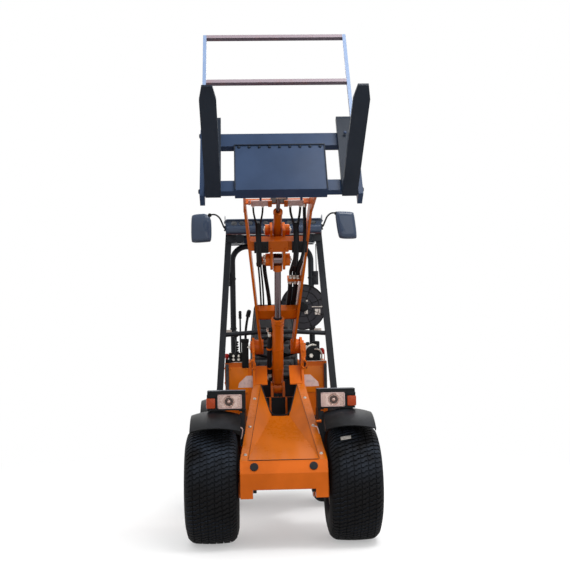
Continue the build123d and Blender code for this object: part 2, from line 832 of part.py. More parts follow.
def lift_hose():
    """Line down the lift barrel's right side, between its two ports."""
    reach = math.dist(lift_foot, lift_head)

    def at(x, distance):
        share = distance / reach
        return (x, lift_foot[0] + share * (lift_head[0] - lift_foot[0]),
                lift_foot[1] + share * (lift_head[1] - lift_foot[1]))

    low, high = lift_hose_span
    piece = between(at(-lift_hose_x, low), at(-lift_hose_x, high), lift_hose_radius)
    for end in (low, high):
        port = between(at(-lift_hose_x - lift_hose_radius, end), at(-lift_barrel_radius * 0.8, end),
                       lift_hose_radius + 4)
        reach_over = 2 * lift_hose_radius
        barrel = between(at(0, end - reach_over), at(0, end + reach_over), lift_barrel_radius)
        piece += port - barrel
    return piece


# ---- tool ---------------------------------------------------------------------
def coupler():
    """Quick coupler: back plate, boom ears, clevis for the tilt rod and lock ears."""
    low = lower_bar[0]
    front = carriage_bar
    back = front + coupler_plate
    piece = tool_block((-coupler_half, coupler_half), (front, back), (low, upper_bar[0] - 5))
    piece += tool_block((-coupler_half, coupler_half), (back, back + 6), (low, low + 12))
    nose_in = boom_half_knee - boom_plate / 2 - coupler_ear_gap
    nose_out = boom_half_knee + boom_plate / 2 + coupler_ear_gap
    for low_x in (nose_in - coupler_ear, nose_out):
        for x in pair(low_x, low_x + coupler_ear):
            piece += tool_plate(x, [(front + 2, pin_up - 75), (pin_back, pin_up - coupler_ear_radius),
                                    (pin_back, pin_up + coupler_ear_radius), (front + 2, pin_up + 75)])
            piece += across(x, tool_pin, coupler_ear_radius)
    for x in pair(nose_in - coupler_ear - 12, nose_out + coupler_ear + 12):
        piece += across(x, tool_pin, coupler_pin_radius)
    eye_back = pin_back + tilt_arm_back
    eye_up = pin_up + tilt_arm_up
    for x in pair(clevis_half, clevis_half + coupler_ear):
        piece += tool_plate(x, [(front + 2, eye_up - 80), (eye_back + 8, eye_up - tilt_eye_radius - 6),
                                (eye_back, eye_up + tilt_eye_radius + 6), (front + 2, eye_up + 30)])
        piece += across(x, tilt_eye, tilt_eye_radius + 8)
    for x in pair(clevis_half + coupler_ear, clevis_half + coupler_ear + 10):
        piece += across(x, tilt_eye, tilt_pin_radius + 8)
    for x in pair(lock_half - 24, lock_half - 12):
        piece += tool_block(x, (back - 2, lock_back + lock_radius + 8), (lock_up - 20, lock_up + 20))
    piece -= across((-lock_half, lock_half), on_tool(lock_up, lock_back), lock_radius)
    return piece


def lock_cylinder():
    """Cross cylinder that drives the two locking pins."""
    centre = on_tool(lock_up, lock_back)
    piece = across((-lock_half, lock_half), centre, lock_radius)
    return piece + across((-lock_body_half, lock_body_half), centre, lock_body_radius)


def carriage():
    """Fork carriage: two cross bars, side plates and the centre plate."""
    side_in = carriage_half - carriage_side
    piece = None
    for low, high in (lower_bar, upper_bar):
        bar = tool_block((-side_in, side_in), (0, carriage_bar), (low, high))
        piece = bar if piece is None else piece + bar
    for x in pair(side_in, carriage_half):
        piece += tool_plate(x, [
            (-20, 0), (carriage_bar + 25, 0), (carriage_bar + 25, lower_bar[1] + 6), (carriage_bar, 180),
            (carriage_bar, carriage_side_top), (-5, carriage_side_top), (-20, carriage_side_top - 45)])
    piece += tool_block((-centre_plate_half, centre_plate_half), (-centre_plate, centre_plate),
                        (lower_bar[0], upper_bar[0] + 8))
    return piece


def fork(side):
    """L-shaped fork: shank up the carriage and a tapering blade forward."""
    x = (side * fork_spread - fork_width / 2, side * fork_spread + fork_width / 2)
    gap = face_gap
    heel = fork_thick
    shank = tool_plate(x, [(-gap - heel, heel), (-gap, 0), (-gap, fork_shank), (-gap - heel + 10, fork_shank),
                           (-gap - heel, fork_shank - 25)])
    blade = tool_plate(x, [(-gap, 0), (-gap, heel), (-heel - 160, heel), (-fork_length, fork_tip_thick),
                           (-fork_length, 0)])
    low = fork_width / 2
    tip = fork_tip_width / 2
    plan = Polygon((-fork_length, -tip), (-fork_length + fork_tip_taper, -low), (1, -low), (1, low),
                   (-fork_length + fork_tip_taper, low), (-fork_length, tip), align=None)
    footprint = Plane(origin=TOOL.origin + Vector(side * fork_spread, 0, 0), x_dir=TOOL.x_dir,
                      z_dir=TOOL.y_dir)
    return shank + (blade & (footprint * extrude(plan, heel + 1, dir=(0, 0, 1))))


def backrest():
    """Open load guard above the carriage."""
    post_in = backrest_half - backrest_post
    low = carriage_side_top
    top = backrest_levels[1] + backrest_bar / 2
    piece = None
    for x in pair(post_in, backrest_half):
        post = tool_block(x, (0, backrest_bar), (low, top))
        piece = post if piece is None else piece + post
    for level in backrest_levels:
        piece += tool_block((-post_in, post_in), (0, backrest_bar),
                            (level - backrest_bar / 2, level + backrest_bar / 2))
    return piece


# ---- rear frame ---------------------------------------------------------------
def rear_frame():
    """Main box of the rear half, its hinge clevises with pins, decks and deck walls."""
    inner = rear_plate_half - rear_side_plate
    piece = block((-rear_plate_half, rear_plate_half), (rear_start_y, rear_start_y + 15),
                  (rear_low_z, floor_z))
    for x in pair(inner, rear_plate_half):
        piece += block(x, (rear_start_y, rear_end_y), (rear_low_z, rear_top_z))
    piece += block((-rear_top_half, rear_top_half), (rear_start_y + 15, rear_end_y),
                   (rear_top_z, rear_top_z + rear_top_plate))
    for level in lug_levels:
        for way in (1, -1):
            middle = level + way * (lug_thick / 2 + lug_gap + clevis_thick / 2)
            z = (middle - clevis_thick / 2, middle + clevis_thick / 2)
            piece += flat(z, [(-rear_plate_half, rear_start_y), (rear_plate_half, rear_start_y),
                              (lug_radius, 0), (-lug_radius, 0)])
            piece += upright((0, 0), z, lug_radius)
        reach = lug_thick / 2 + lug_gap + clevis_thick + 8
        piece += upright((0, 0), (level - reach, level + reach), steer_pin_radius)
    piece += both(fender_pad(rear_axle_y, deck_z))
    beam = axle_beam / 2
    piece -= block((-rear_plate_half - 1, rear_plate_half + 1), (rear_axle_y - beam, rear_axle_y + beam),
                   (tyre_radius - beam - 1, tyre_radius + beam))
    wall = (rear_top_half - deck_wall, rear_top_half)
    for x in pair(*wall):
        piece += block(x, (floor_back_y, deck_end_y - 20), (rear_top_z + rear_top_plate, deck_z))
    for x in pair(wall[0], deck_half):
        piece += block(x, (floor_back_y, deck_end_y), (deck_z, deck_z + deck_thick))
    return piece


def floor_plate():
    """Operator's floor over the hinge."""
    z = (floor_z, floor_z + floor_thick)
    wide = block((-floor_half, floor_half), (floor_front_y, floor_step_y), z)
    return wide + block((-rear_top_half, rear_top_half), (floor_step_y, floor_back_y), z)


def rear_fenders():
    return both(fender(rear_axle_y, rear_fender_sweep))


def counterweight():
    """Rear weight with chamfered corners and the towing clevis."""
    piece = block((-weight_half, weight_half), (rear_end_y, weight_end_y), (weight_low_z, weight_high_z))
    edges = piece.edges().filter_by(Axis.Z).group_by(Axis.Y)[-1]
    piece = chamfer(edges, weight_chamfer)
    for way in (1, -1):
        middle = hitch_z + way * (hitch_gap + hitch_plate) / 2
        z = (middle - hitch_plate / 2, middle + hitch_plate / 2)
        end = weight_end_y + hitch_reach - hitch_half / 2
        piece += block((-hitch_half, hitch_half), (weight_end_y - 1, end), z)
        piece += upright((0, end - 10), z, hitch_half - 8)
    for x in (*pair(hood_knuckle[0] - hinge_ear - 1, hood_knuckle[0] - 1),
              *pair(hood_knuckle[1] + 1, hood_knuckle[1] + hinge_ear + 1)):
        ear = block(x, (hood_hinge_y - 8, hood_hinge_y + 22), (weight_high_z - 1, hood_hinge_z))
        ear += across(x, (hood_hinge_y, hood_hinge_z), hood_hinge_radius)
        piece += ear - across(x, (hood_hinge_y, hood_hinge_z), hinge_pin_radius + pin_clearance)
    piece -= upright((0, weight_end_y + 35), (hitch_z - 60, hitch_z + 60), hitch_bore)
    return piece


def tail_lamps():
    y = (weight_end_y, weight_end_y + 12)
    return both(block((140, 200), y, (weight_high_z - 62, weight_high_z - 22)))


def engine():
    """Engine and pump as one plain block on the rear frame."""
    return block((-engine_half, engine_half), (engine_front_y, engine_back_y),
                 (rear_top_z + rear_top_plate, engine_top_z))


def rounded_box(half, y, z, corner, edge):
    """Box across the machine with rounded upright corners and a rounded top edge."""
    box = block((-half, half), y, z)
    box = fillet(box.edges().filter_by(Axis.Z), corner)
    return fillet(box.edges().group_by(Axis.Z)[-1], edge)


def engine_hood():
    """Open-bottomed hood, hinged at its lower rear edge."""
    piece = rounded_box(hood_half, (hood_front_y, hood_back_y), (hood_low_z, hood_high_z),
                        hood_corner, hood_edge)
    piece -= rounded_box(hood_half - hood_wall, (hood_front_y + hood_wall, hood_back_y - hood_wall),
                         (hood_low_z - 300, hood_high_z - hood_wall),
                         hood_corner - hood_wall, hood_edge - hood_wall)
    opening = (hood_back_y - 40, hood_back_y + 1)
    piece -= block((-grille_half, grille_half), opening, (grille_low_z, grille_high_z))
    for x in pair(*hood_knuckle):
        piece += block(x, (hood_back_y - hood_wall - 4, hood_hinge_y),
                       (hood_hinge_z - hood_hinge_radius, hood_hinge_z + hood_hinge_radius))
        piece += across(x, (hood_hinge_y, hood_hinge_z), hood_hinge_radius)
    for x in pair(hood_knuckle[0] - hinge_ear - 2, hood_knuckle[1] + hinge_ear + 2):
        piece += across(x, (hood_hinge_y, hood_hinge_z), hinge_pin_radius)
    return piece


def grille():
    """Slotted panel in the hood's rear wall."""
    y = (hood_back_y - hood_wall, hood_back_y)
    piece = block((-grille_half, grille_half), y, (grille_low_z, grille_high_z))
    count = int((grille_high_z - grille_low_z - grille_pitch) / grille_pitch)
    for row in range(count):
        low = grille_low_z + grille_pitch * (row + 0.75)
        high = low + grille_pitch - grille_bar
        piece -= block((15 - grille_half, grille_half - 15), (y[0] - 1, y[1] + 1), (low, high))
    return piece


# ---- operator's place ---------------------------------------------------------
def consoles():
    """Boxes at both sides of the operator, narrower beside the seat."""
    low = floor_z + floor_thick
    front = block((console_inner, console_outer), (console_front_y, floor_step_y), (low, console_top_z))
    front += block((console_inner, console_outer), (floor_step_y, floor_back_y),
                   (deck_z + deck_thick, console_top_z))
    rear = block((seat_half + console_seat_gap, console_outer), (floor_back_y, console_back_y),
                 (deck_z + deck_thick, console_top_z))
    return both(front + rear)


def seat_base():
    return block((-seat_half, seat_half), (seat_front_y, seat_back_y),
                 (rear_top_z + rear_top_plate, seat_base_top_z))


def seat_cushion():
    cushion = block((-seat_half + 10, seat_half - 10), (seat_front_y - 10, seat_back_y - seat_back_thick),
                    (seat_base_top_z, seat_top_z))
    return fillet(cushion.edges().filter_by(Axis.Y), 25)


def seat_back():
    """Leaning back, narrower at its top."""
    low = seat_half - 10
    high = seat_back_top_half
    front = seat_back_y - seat_back_thick
    outline = [(front, seat_base_top_z), (seat_back_y, seat_base_top_z),
               (seat_back_y + seat_back_lean - 20, seat_back_top_z),
               (front + seat_back_lean + 15, seat_back_top_z)]
    shoulder = seat_base_top_z + seat_shoulder
    face = Plane.XZ * Polygon((-low, seat_base_top_z), (low, seat_base_top_z), (low, shoulder),
                              (high, seat_back_top_z), (-high, seat_back_top_z), (-low, shoulder),
                              align=None)
    return plate((-low, low), outline) & extrude(face, hood_back_y, dir=(0, 1, 0))


def steering():
    """Column from the floor and the tilted steering wheel on it."""
    hub = (0, column_top_y, column_top_z)
    piece = between((0, column_y, floor_z + floor_thick), hub, column_radius)
    lean = math.radians(steering_tilt)
    tilt = Plane(origin=hub, z_dir=(0, math.sin(lean), math.cos(lean)))
    lift = steering_lift
    piece += tilt * Pos(0, 0, lift / 2) * Cylinder(14, lift + 8)
    piece += tilt * Pos(0, 0, lift) * Torus(steering_wheel_radius, steering_rim_radius)
    piece += tilt * Pos(0, 0, lift) * Cylinder(36, 22)
    for turn in (90, 210, 330):
        spoke = Rot(0, 0, turn) * Pos(steering_wheel_radius / 2, 0, 0) * Box(
            steering_wheel_radius, steering_spoke, 10)
        piece += tilt * Pos(0, 0, lift) * spoke
    return piece - floor_plate()


def controls():
    """Valve block, joystick and lever on the right console, small switch box on the left."""
    top = console_top_z
    valve = block((-290, -225), (250, 330), (top, top + valve_height))
    stick = (-270, 360)
    valve += upright(stick, (top, top + 30), 24) + upright(stick, (top + 25, top + stick_height), 7)
    valve += Pos(*stick, top + stick_height + 5) * Sphere(knob_radius)
    lever = (-238, 285)
    grip = top + lever_height
    valve += upright(lever, (top + valve_height - 7, grip), 6)
    valve += upright(lever, (grip, grip + lever_grip), 9)
    box = block((190, 300), (260, 350), (top, top + switch_box_height))
    return valve + box


# ---- rollover frame and roof --------------------------------------------------
def front_posts():
    """Two leaning posts from the floor to the roof."""
    half = post_size / 2
    low = floor_z + floor_thick
    foot = Plane.XY.offset(low) * Pos(*post_foot) * Rectangle(post_size, post_size)
    head = Pos(post_head[0] - half, post_head[1] + half) * Rectangle(post_size, post_size)
    head = Plane.XY.offset(roof_low_z) * head
    return both(loft([foot, head]))


def post_at(z):
    """(x, y) middle of a front post at this height."""
    half = post_size / 2
    low = floor_z + floor_thick
    share = (z - low) / (roof_low_z - low)
    return (post_foot[0] + share * (post_head[0] - half - post_foot[0]),
            post_foot[1] + share * (post_head[1] + half - post_foot[1]))


def crossbar():
    """Grab bar between the posts, bowed up a little in its middle."""
    x, y = post_at(crossbar_z)
    end = x - post_size / 2 + 2
    path = Polyline((-end, y, crossbar_z), (-end * 0.35, y, crossbar_z + 14),
                    (end * 0.35, y, crossbar_z + 14), (end, y, crossbar_z))
    path = fillet(path.vertices().group_by(Axis.Z)[-1], 200)
    start = Plane(origin=path @ 0, z_dir=path % 0)
    return sweep(start * Circle(crossbar_radius), path) - front_posts()


def rear_hoop():
    """Bent tube over the engine deck, with foot plates."""
    low = deck_z + deck_thick
    top = roof_low_z - hoop_radius
    path = FilletPolyline((-hoop_half, hoop_y, low), (-hoop_half, hoop_y, top), (hoop_half, hoop_y, top),
                          (hoop_half, hoop_y, low), radius=hoop_corner)
    tube = sweep(Plane(origin=path @ 0, z_dir=path % 0) * Circle(hoop_radius), path)
    feet = both(block((hoop_half - 45, hoop_half + 45), (hoop_y - 45, hoop_y + 45), (low, low + 10)))
    return tube + feet


def roof():
    """Flat canopy: top sheet, front beam with oval slots, side and rear beams."""
    wide = (-roof_half, roof_half)
    piece = block(wide, (roof_front_y, roof_back_y), (roof_high_z - roof_sheet, roof_high_z))
    beam = block(wide, (roof_front_y, roof_front_y + roof_beam), (roof_low_z, roof_high_z))
    inner = roof_half - roof_sheet
    beam -= block((-inner, inner), (roof_front_y + roof_sheet, roof_front_y + roof_beam),
                  (roof_slot_z - 28, roof_high_z - roof_sheet))
    pitch = (2 * roof_half - 60) / roof_slot_count
    for count in range(roof_slot_count):
        x = (count - (roof_slot_count - 1) / 2) * pitch
        slot = SlotOverall(roof_slot_length, roof_slot_height)
        slot = Plane.XZ.offset(-roof_front_y) * Pos(x, roof_slot_z) * slot
        beam -= extrude(slot, roof_sheet + 1, both=True)
    piece += beam
    for x in pair(inner, roof_half):
        piece += block(x, (roof_front_y, roof_back_y), (roof_low_z, roof_high_z))
    piece += block(wide, (roof_back_y - roof_sheet, roof_back_y), (roof_low_z, roof_high_z))
    rest = (hoop_y - roof_beam / 2, hoop_y + roof_beam / 2)
    piece += block((-inner, inner), rest, (roof_low_z, roof_low_z + roof_beam))
    return piece


def cover_disc():
    """Round plate held on the rear hoop's left leg by a bracket."""
    y = hoop_y - hoop_radius - 12
    disc = Pos(cover_disc_x, y - cover_disc_thick / 2, cover_disc_z) * Rot(90, 0, 0) * Cylinder(
        cover_disc_radius, cover_disc_thick)
    for level in (-90, 90):
        middle = cover_disc_z + level
        disc += block((hoop_half - 30, hoop_half + 30), (y, hoop_y), (middle - 20, middle + 20))
    return disc - upright((hoop_half, hoop_y), (cover_disc_z - 300, cover_disc_z + 300), hoop_radius)


def mirrors():
    """Mirror heads on curved arms from the front posts."""
    head = Pos(mirror_x, mirror_y, mirror_z) * Box(mirror_width, mirror_thick, mirror_height)
    head = fillet(head.edges().filter_by(Axis.Y), 26)
    x, y = post_at(roof_low_z - 40)
    start = (x + post_size / 2 - 3, y, roof_low_z - 40)
    arm = FilletPolyline(start, (x + 70, y, roof_low_z - 30), (mirror_x - 25, mirror_y + 30, mirror_z + 20),
                         (mirror_x, mirror_y + mirror_thick / 2 - 4, mirror_z + 20), radius=18)
    piece = head + sweep(Plane(origin=arm @ 0, z_dir=arm % 0) * Circle(mirror_arm_radius), arm)
    return both(piece) - front_posts()


# ---- all pieces ---------------------------------------------------------------
parts = {
    "front_frame": front_frame(),
    "front_hood_cover": hood_cover(),
    "front_nose_box": nose_box(),
    "front_nose_caps": nose_caps(),
    "tower_wings": tower_wings(),
    "front_axle": axle(front_axle_y),
    "front_fenders": front_fenders(),
    "lamp_boxes": lamp_boxes(),
    "headlamps": headlamps(),
    "indicators": indicators(),
    "boom": boom(),
    "boom_bracket": boom_bracket(),
    "lift_barrel": cylinder_barrel(lift_foot, lift_head, lift_barrel_length, lift_barrel_radius,
                                   lift_rod_radius, lift_eye_radius, lift_eye_half, lift_pin_radius),
    "lift_rod": cylinder_rod(lift_foot, lift_head, lift_barrel_length - 100, lift_rod_radius,
                             lift_eye_radius, lift_eye_half),
    "tilt_barrel": cylinder_barrel(tilt_foot, tilt_eye, tilt_barrel_length, tilt_barrel_radius,
                                   tilt_rod_radius, tilt_eye_radius, tilt_eye_half, tilt_pin_radius),
    "tilt_rod": cylinder_rod(tilt_foot, tilt_eye, tilt_barrel_length - 100, tilt_rod_radius,
                             tilt_eye_radius, tilt_eye_half),
    "lift_hose": lift_hose(),
    "left_hoses": boom_hoses((left_line_outer, line_radius), (left_line_inner, line_radius),
                             (rod_hose, rod_hose_radius)),
    "right_hoses": boom_hoses((supply_inner, supply_radius), (supply_outer, supply_radius),
                              (drain_hose, drain_radius), (sleeve_inner, sleeve_radius),
                              (sleeve_outer, sleeve_radius)),
    "quick_coupler": coupler(),
    "coupler_lock": lock_cylinder(),
    "fork_carriage": carriage(),
    "left_fork": fork(1),
    "right_fork": fork(-1),
    "load_backrest": backrest(),
    "rear_frame": rear_frame(),
    "rear_axle": axle(rear_axle_y),
    "floor_plate": floor_plate(),
    "rear_fenders": rear_fenders(),
    "counterweight": counterweight(),
    "tail_lamps": tail_lamps(),
    "engine_block": engine(),
    "engine_hood": engine_hood(),
    "hood_grille": grille(),
    "side_consoles": consoles(),
    "seat_base": seat_base(),
    "seat_cushion": seat_cushion(),
    "seat_back": seat_back(),
    "steering_column": steering(),
    "control_levers": controls(),
    "front_posts": front_posts(),
    "grab_crossbar": crossbar(),
    "rear_hoop": rear_hoop(),
    "roof_canopy": roof(),
    "round_cover": cover_disc(),
    "mirrors": mirrors(),
}
wheels = (
    # name, axle y, side
    ("front_left", front_axle_y, 1),
    ("front_right", front_axle_y, -1),
    ("rear_left", rear_axle_y, 1),
    ("rear_right", rear_axle_y, -1),
)
for name, y, side in wheels:
    centre = (side * tyre_x, y, tyre_radius)
    parts[name + "_tyre"] = tyre(centre)
    parts[name + "_rim"] = rim(centre, side)

# ---- move the base's middle to the origin and write the files -----------------
whole = Compound(children=[Compound(piece.solids()) for piece in parts.values()]).bounding_box()
shift_y = -(whole.min.Y + whole.max.Y) / 2
os.makedirs("parts", exist_ok=True)
for name, piece in parts.items():
    export_step(Pos(0, shift_y, 0) * piece, f"parts/{name}.step")
print("pieces", len(parts), "moved by", round(shift_y, 2), "along y")
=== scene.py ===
# %% [markdown]
# # A compact wheel loader, dressed from its engineering model
# This lesson takes the loader's solid model, which arrives as plain grey pieces,
# and gives it paint, rubber, glass, hoses and wear. Nothing is moved: every new
# piece is built where the solid model says it belongs, in metres.

# %% Load the solid model
import json
import math
import bmesh
import bpy
from mathutils import Matrix, Vector
from mathutils.bvhtree import BVHTree


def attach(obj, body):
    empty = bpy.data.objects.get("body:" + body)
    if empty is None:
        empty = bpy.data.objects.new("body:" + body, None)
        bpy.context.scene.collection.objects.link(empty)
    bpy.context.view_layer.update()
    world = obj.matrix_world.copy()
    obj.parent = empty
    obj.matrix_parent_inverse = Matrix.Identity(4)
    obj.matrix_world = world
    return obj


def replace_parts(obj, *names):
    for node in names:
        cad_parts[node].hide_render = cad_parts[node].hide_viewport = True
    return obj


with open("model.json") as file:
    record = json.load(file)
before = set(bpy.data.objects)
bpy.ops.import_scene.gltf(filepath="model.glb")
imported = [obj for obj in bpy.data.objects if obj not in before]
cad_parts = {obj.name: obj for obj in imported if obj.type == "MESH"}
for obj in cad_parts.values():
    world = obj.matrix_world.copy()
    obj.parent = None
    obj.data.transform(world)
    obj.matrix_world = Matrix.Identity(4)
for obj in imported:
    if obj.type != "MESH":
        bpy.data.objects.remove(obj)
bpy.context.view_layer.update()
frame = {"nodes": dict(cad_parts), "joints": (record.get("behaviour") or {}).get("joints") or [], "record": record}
nodes = frame["nodes"]

# %% [markdown]
# ## The camera
# The loader is seen from the front at chest height, a little from its right.
# A lens of about 62 mm on a 36 mm sensor keeps the boom's perspective: the
# raised forks look small and high, and the tyres look wide. The camera could be
# aimed with a Track To constraint, but a plain rotation matrix lets us add the
# slight roll of a hand-held camera and keeps the scene free of constraints.

# %% Camera
camera_place = Vector((-0.195, -6.069, 1.200))
camera_turn, camera_rise, camera_roll = (math.radians(v) for v in (2.3, 2.9, 1.1))
camera_data = bpy.data.cameras.new("camera")
camera_data.sensor_width = 36
camera_data.lens = 61.64
camera = bpy.data.objects.new("camera", camera_data)
bpy.context.scene.collection.objects.link(camera)
look = Matrix.Rotation(-camera_turn, 4, "Z") @ Matrix.Rotation(math.pi / 2 + camera_rise, 4, "X")
camera.matrix_world = Matrix.Translation(camera_place) @ look @ Matrix.Rotation(-camera_roll, 4, "Z")
bpy.context.scene.camera = camera
print("camera at", tuple(round(v, 2) for v in camera_place))

# %% [markdown]
# ## Shader maths as plain Python
# A node tree is a formula. Instead of wiring Math nodes by hand, we wrap each
# output socket in a small class and give it +, -, * and friends, so that
# `1 - mask * 0.5` adds its nodes by itself. Colours and vectors take another
# road, through Mix and Vector Math, because a Math node keeps only one number.

# %% The Wire class
class Wire:
    """An output socket that can be used in Python expressions."""

    def __init__(self, finish, socket):
        self.finish, self.socket = finish, socket

    def math(self, operation, other, swapped=False):
        first, second = (other, self) if swapped else (self, other)
        return self.finish.add("ShaderNodeMath", {"operation": operation}, {0: first, 1: second})

    def __add__(self, other):
        return self.math("ADD", other)

    def __sub__(self, other):
        return self.math("SUBTRACT", other)

    def __rsub__(self, other):
        return self.math("SUBTRACT", other, True)

    def __mul__(self, other):
        return self.math("MULTIPLY", other)

    def __abs__(self):
        return self.math("ABSOLUTE", 0.0)

    def clamp(self):
        return self.finish.add("ShaderNodeClamp", {}, {0: self})


# %% The Finish class: one material and its nodes
class Finish:
    """A material whose nodes are added by calls and by Wire expressions."""

    def __init__(self, name, **sockets):
        self.material = bpy.data.materials.new(name)
        self.material.use_nodes = True
        self.tree = self.material.node_tree
        self.shader = self.tree.nodes["Principled BSDF"]
        self.set(**sockets)

    @classmethod
    def of_tree(cls, tree):
        """The same calls for a tree without a surface shader, such as the world's."""
        made = cls.__new__(cls)
        made.tree = tree
        return made

    def set(self, **sockets):
        """Fixed values and wires for the shader's sockets, spaces written as _."""
        for name, value in sockets.items():
            self.feed(self.shader.inputs[name.replace("_", " ")], value)

    def feed(self, socket, value):
        if isinstance(value, Wire):
            self.tree.links.new(value.socket, socket)
        elif isinstance(value, tuple) and socket.type == "RGBA":
            socket.default_value = (*value, 1)[:4]
        else:
            socket.default_value = value

    def add(self, kind, settings=None, inputs=None, output=0):
        """Any node: its settings first, then the values or wires of its sockets."""
        node = self.tree.nodes.new(kind)
        for name, value in (settings or {}).items():
            setattr(node, name, value)
        for name, value in (inputs or {}).items():
            self.feed(node.inputs[name], value)
        return Wire(self, node.outputs[output])

    def place(self):
        """The point on the surface, in metres, fixed to the piece."""
        return self.add("ShaderNodeTexCoord", output="Object")

    def noise(self, scale, detail=3.0, rough=0.55, at=None):
        inputs = {"Vector": at or self.place(), "Scale": scale, "Detail": detail, "Roughness": rough}
        return self.add("ShaderNodeTexNoise", {}, inputs)

    def step(self, value, low, high):
        """0 below low, 1 above high, smooth between them."""
        settings = {"interpolation_type": "SMOOTHSTEP"}
        return self.add("ShaderNodeMapRange", settings, {"Value": value, "From Min": low, "From Max": high})

    def mix(self, share, first, second):
        """Blend of two colours."""
        return self.add("ShaderNodeMix", {"data_type": "RGBA"}, {0: share, 6: first, 7: second}, 2)

    def cells(self, feature, scale):
        return self.add("ShaderNodeTexVoronoi", {"feature": feature},
                        {"Vector": self.place(), "Scale": scale})

    def facing(self, axis):
        """How far the surface faces along an axis of its piece, from -1 to 1."""
        return self.part(self.add("ShaderNodeTexCoord", output="Normal"), axis)

    def part(self, vector, axis):
        return self.add("ShaderNodeSeparateXYZ", {}, {0: vector}, axis)

    def stretch(self, vector, amounts):
        return self.add("ShaderNodeVectorMath", {"operation": "MULTIPLY"}, {0: vector, 1: amounts})

    def bump(self, height, distance, strength=1.0, normal=None):
        inputs = {"Strength": strength, "Distance": distance, "Height": height}
        if normal:
            inputs["Normal"] = normal
        return self.add("ShaderNodeBump", {}, inputs)

    def rounded(self, radius):
        """A normal that turns over the edges, as rolled or cast edges do."""
        return self.add("ShaderNodeBevel", {"samples": 4}, {"Radius": radius})

    def edges(self, radius):
        """1 on sharp edges, 0 on faces."""
        true = self.add("ShaderNodeNewGeometry", output="Normal")
        soft = self.rounded(radius)
        alike = self.add("ShaderNodeVectorMath", {"operation": "DOT_PRODUCT"}, {0: soft, 1: true}, "Value")
        return self.step(1 - alike, 0.02, 0.25)


def tint(red, green, blue):
    """A colour given as screen values from 0 to 255."""
    shares = (value / 255 for value in (red, green, blue))
    return tuple(s / 12.92 if s < 0.04045 else ((s + 0.055) / 1.055) ** 2.4 for s in shares)


# %% [markdown]
# ## Paint
# Machine paint is a coloured layer under a clear, slightly wavy skin. We could
# leave it one flat colour, but a real panel changes a little from place to
# place: sprayed edges are thinner, dust settles on what faces up, and corners
# wear to the primer. All of it comes from noise and from the surface itself, so
# no picture is needed, and it stays put when the boom moves.

# %% Paint finishes
def paint(name, colour, dusty, rough, coat, wear=0.5, skin=0.00012, primer=tint(96, 70, 52),
          sides_dull=False):
    finish = Finish(name, Coat_Weight=coat, Coat_Roughness=0.12, Specular_IOR_Level=0.12)
    cloudy = finish.noise(3.1, 4)
    fine = finish.noise(55.0, 3)
    deep = tuple(value * 0.86 for value in colour)
    light = tuple(min(1.0, value * 1.10 + 0.004) for value in colour)
    base = finish.mix(finish.step(cloudy, 0.35, 0.68), deep, light)
    up = finish.facing(2)
    dust = finish.step(up, 0.55, 1.0) * finish.step(cloudy + fine * 0.4, 0.52, 0.95)
    if sides_dull:
        inward = abs(finish.facing(0))
        finish.set(Coat_Weight=(1 - finish.step(inward, 0.10, 0.35)) * coat)
    base = finish.mix(dust * dusty, base, tint(158, 146, 130))
    worn = finish.edges(0.0025) * finish.step(fine, 0.50, 0.66) * wear
    base = finish.mix(worn, base, primer)
    finish.set(Base_Color=base, Roughness=dust * 0.22 + fine * 0.10 + worn * 0.2 + (rough - 0.05))
    finish.set(Normal=finish.bump(finish.noise(260.0, 1), skin, 0.25, finish.rounded(0.0022)))
    return finish.material


finishes = {
    "orange_paint": paint("orange paint", tint(203, 95, 4), 0.03, 0.36, 0.10),
    "orange_cover": paint("orange cover paint", tint(190, 95, 3), 0.0, 0.22, 0.50, 0.0, sides_dull=True),
    "black_paint": paint("satin black paint", tint(24, 28, 34), 0.03, 0.42, 0.10),
    "slate_paint": paint("slate blue paint", tint(38, 58, 88), 0.04, 0.42, 0.06),
    "fork_paint": paint("fork paint", tint(21, 32, 46), 0.04, 0.46, 0.04),
    # A lighter copy of the orange paint for the console panels: painted light.
    "lit_panel_paint": paint("panel paint painted lighter", tint(216, 112, 8), 0.02, 0.34, 0.1, 0.2),
    "disc_paint": paint("disc paint", tint(44, 44, 50), 0.05, 0.5, 0.1),
    "drip_brown": paint("drip edge paint", tint(84, 50, 52), 0.03, 0.4, 0.1),
    "roof_paint": paint("roof paint", tint(50, 64, 86), 0.03, 0.34, 0.45),
    "rim_paint": paint("rim paint", tint(196, 194, 186), 0.25, 0.45, 0.10),
    "cast_block": paint("engine casting", tint(72, 74, 77), 0.30, 0.62, 0.0, 0.3, 0.0015),
}
print("paints:", ", ".join(finishes))

# %% [markdown]
# The load guard stands in open sky light: its posts read as a pale blue grey and
# its two cross bars as a warmer grey. The bars carry painted light and shade: pale on
# top and dark beneath, by which way they face. One finish can do both, because the place
# across the machine tells post from bar.

# %% Load guard paint
def guard_paint():
    finish = Finish("load guard paint", Coat_Weight=0.2, Coat_Roughness=0.2)
    across = abs(finish.part(finish.place(), 0))
    cloudy = finish.noise(9.0, 4)
    post = finish.mix(cloudy, tint(112, 138, 176), tint(134, 156, 192))
    up = finish.facing(2)
    # Painted light and shade: the cross bars are pale on their tops and dark underneath.
    bar = finish.mix(finish.step(up, 0.2, 0.8), tint(84, 72, 86), tint(172, 154, 162))
    rust = finish.step(finish.noise(26.0, 5), 0.54, 0.70) * (1 - finish.step(across, 0.400, 0.404))
    base = finish.mix(finish.step(across, 0.400, 0.404), bar, post)
    base = finish.mix(rust * 0.25, base, tint(140, 92, 84))
    finish.set(Base_Color=base, Roughness=cloudy * 0.2 + 0.38, Normal=finish.rounded(0.003))
    return finish.material


finishes["guard_paint"] = guard_paint()
print("guard paint mixes by place")
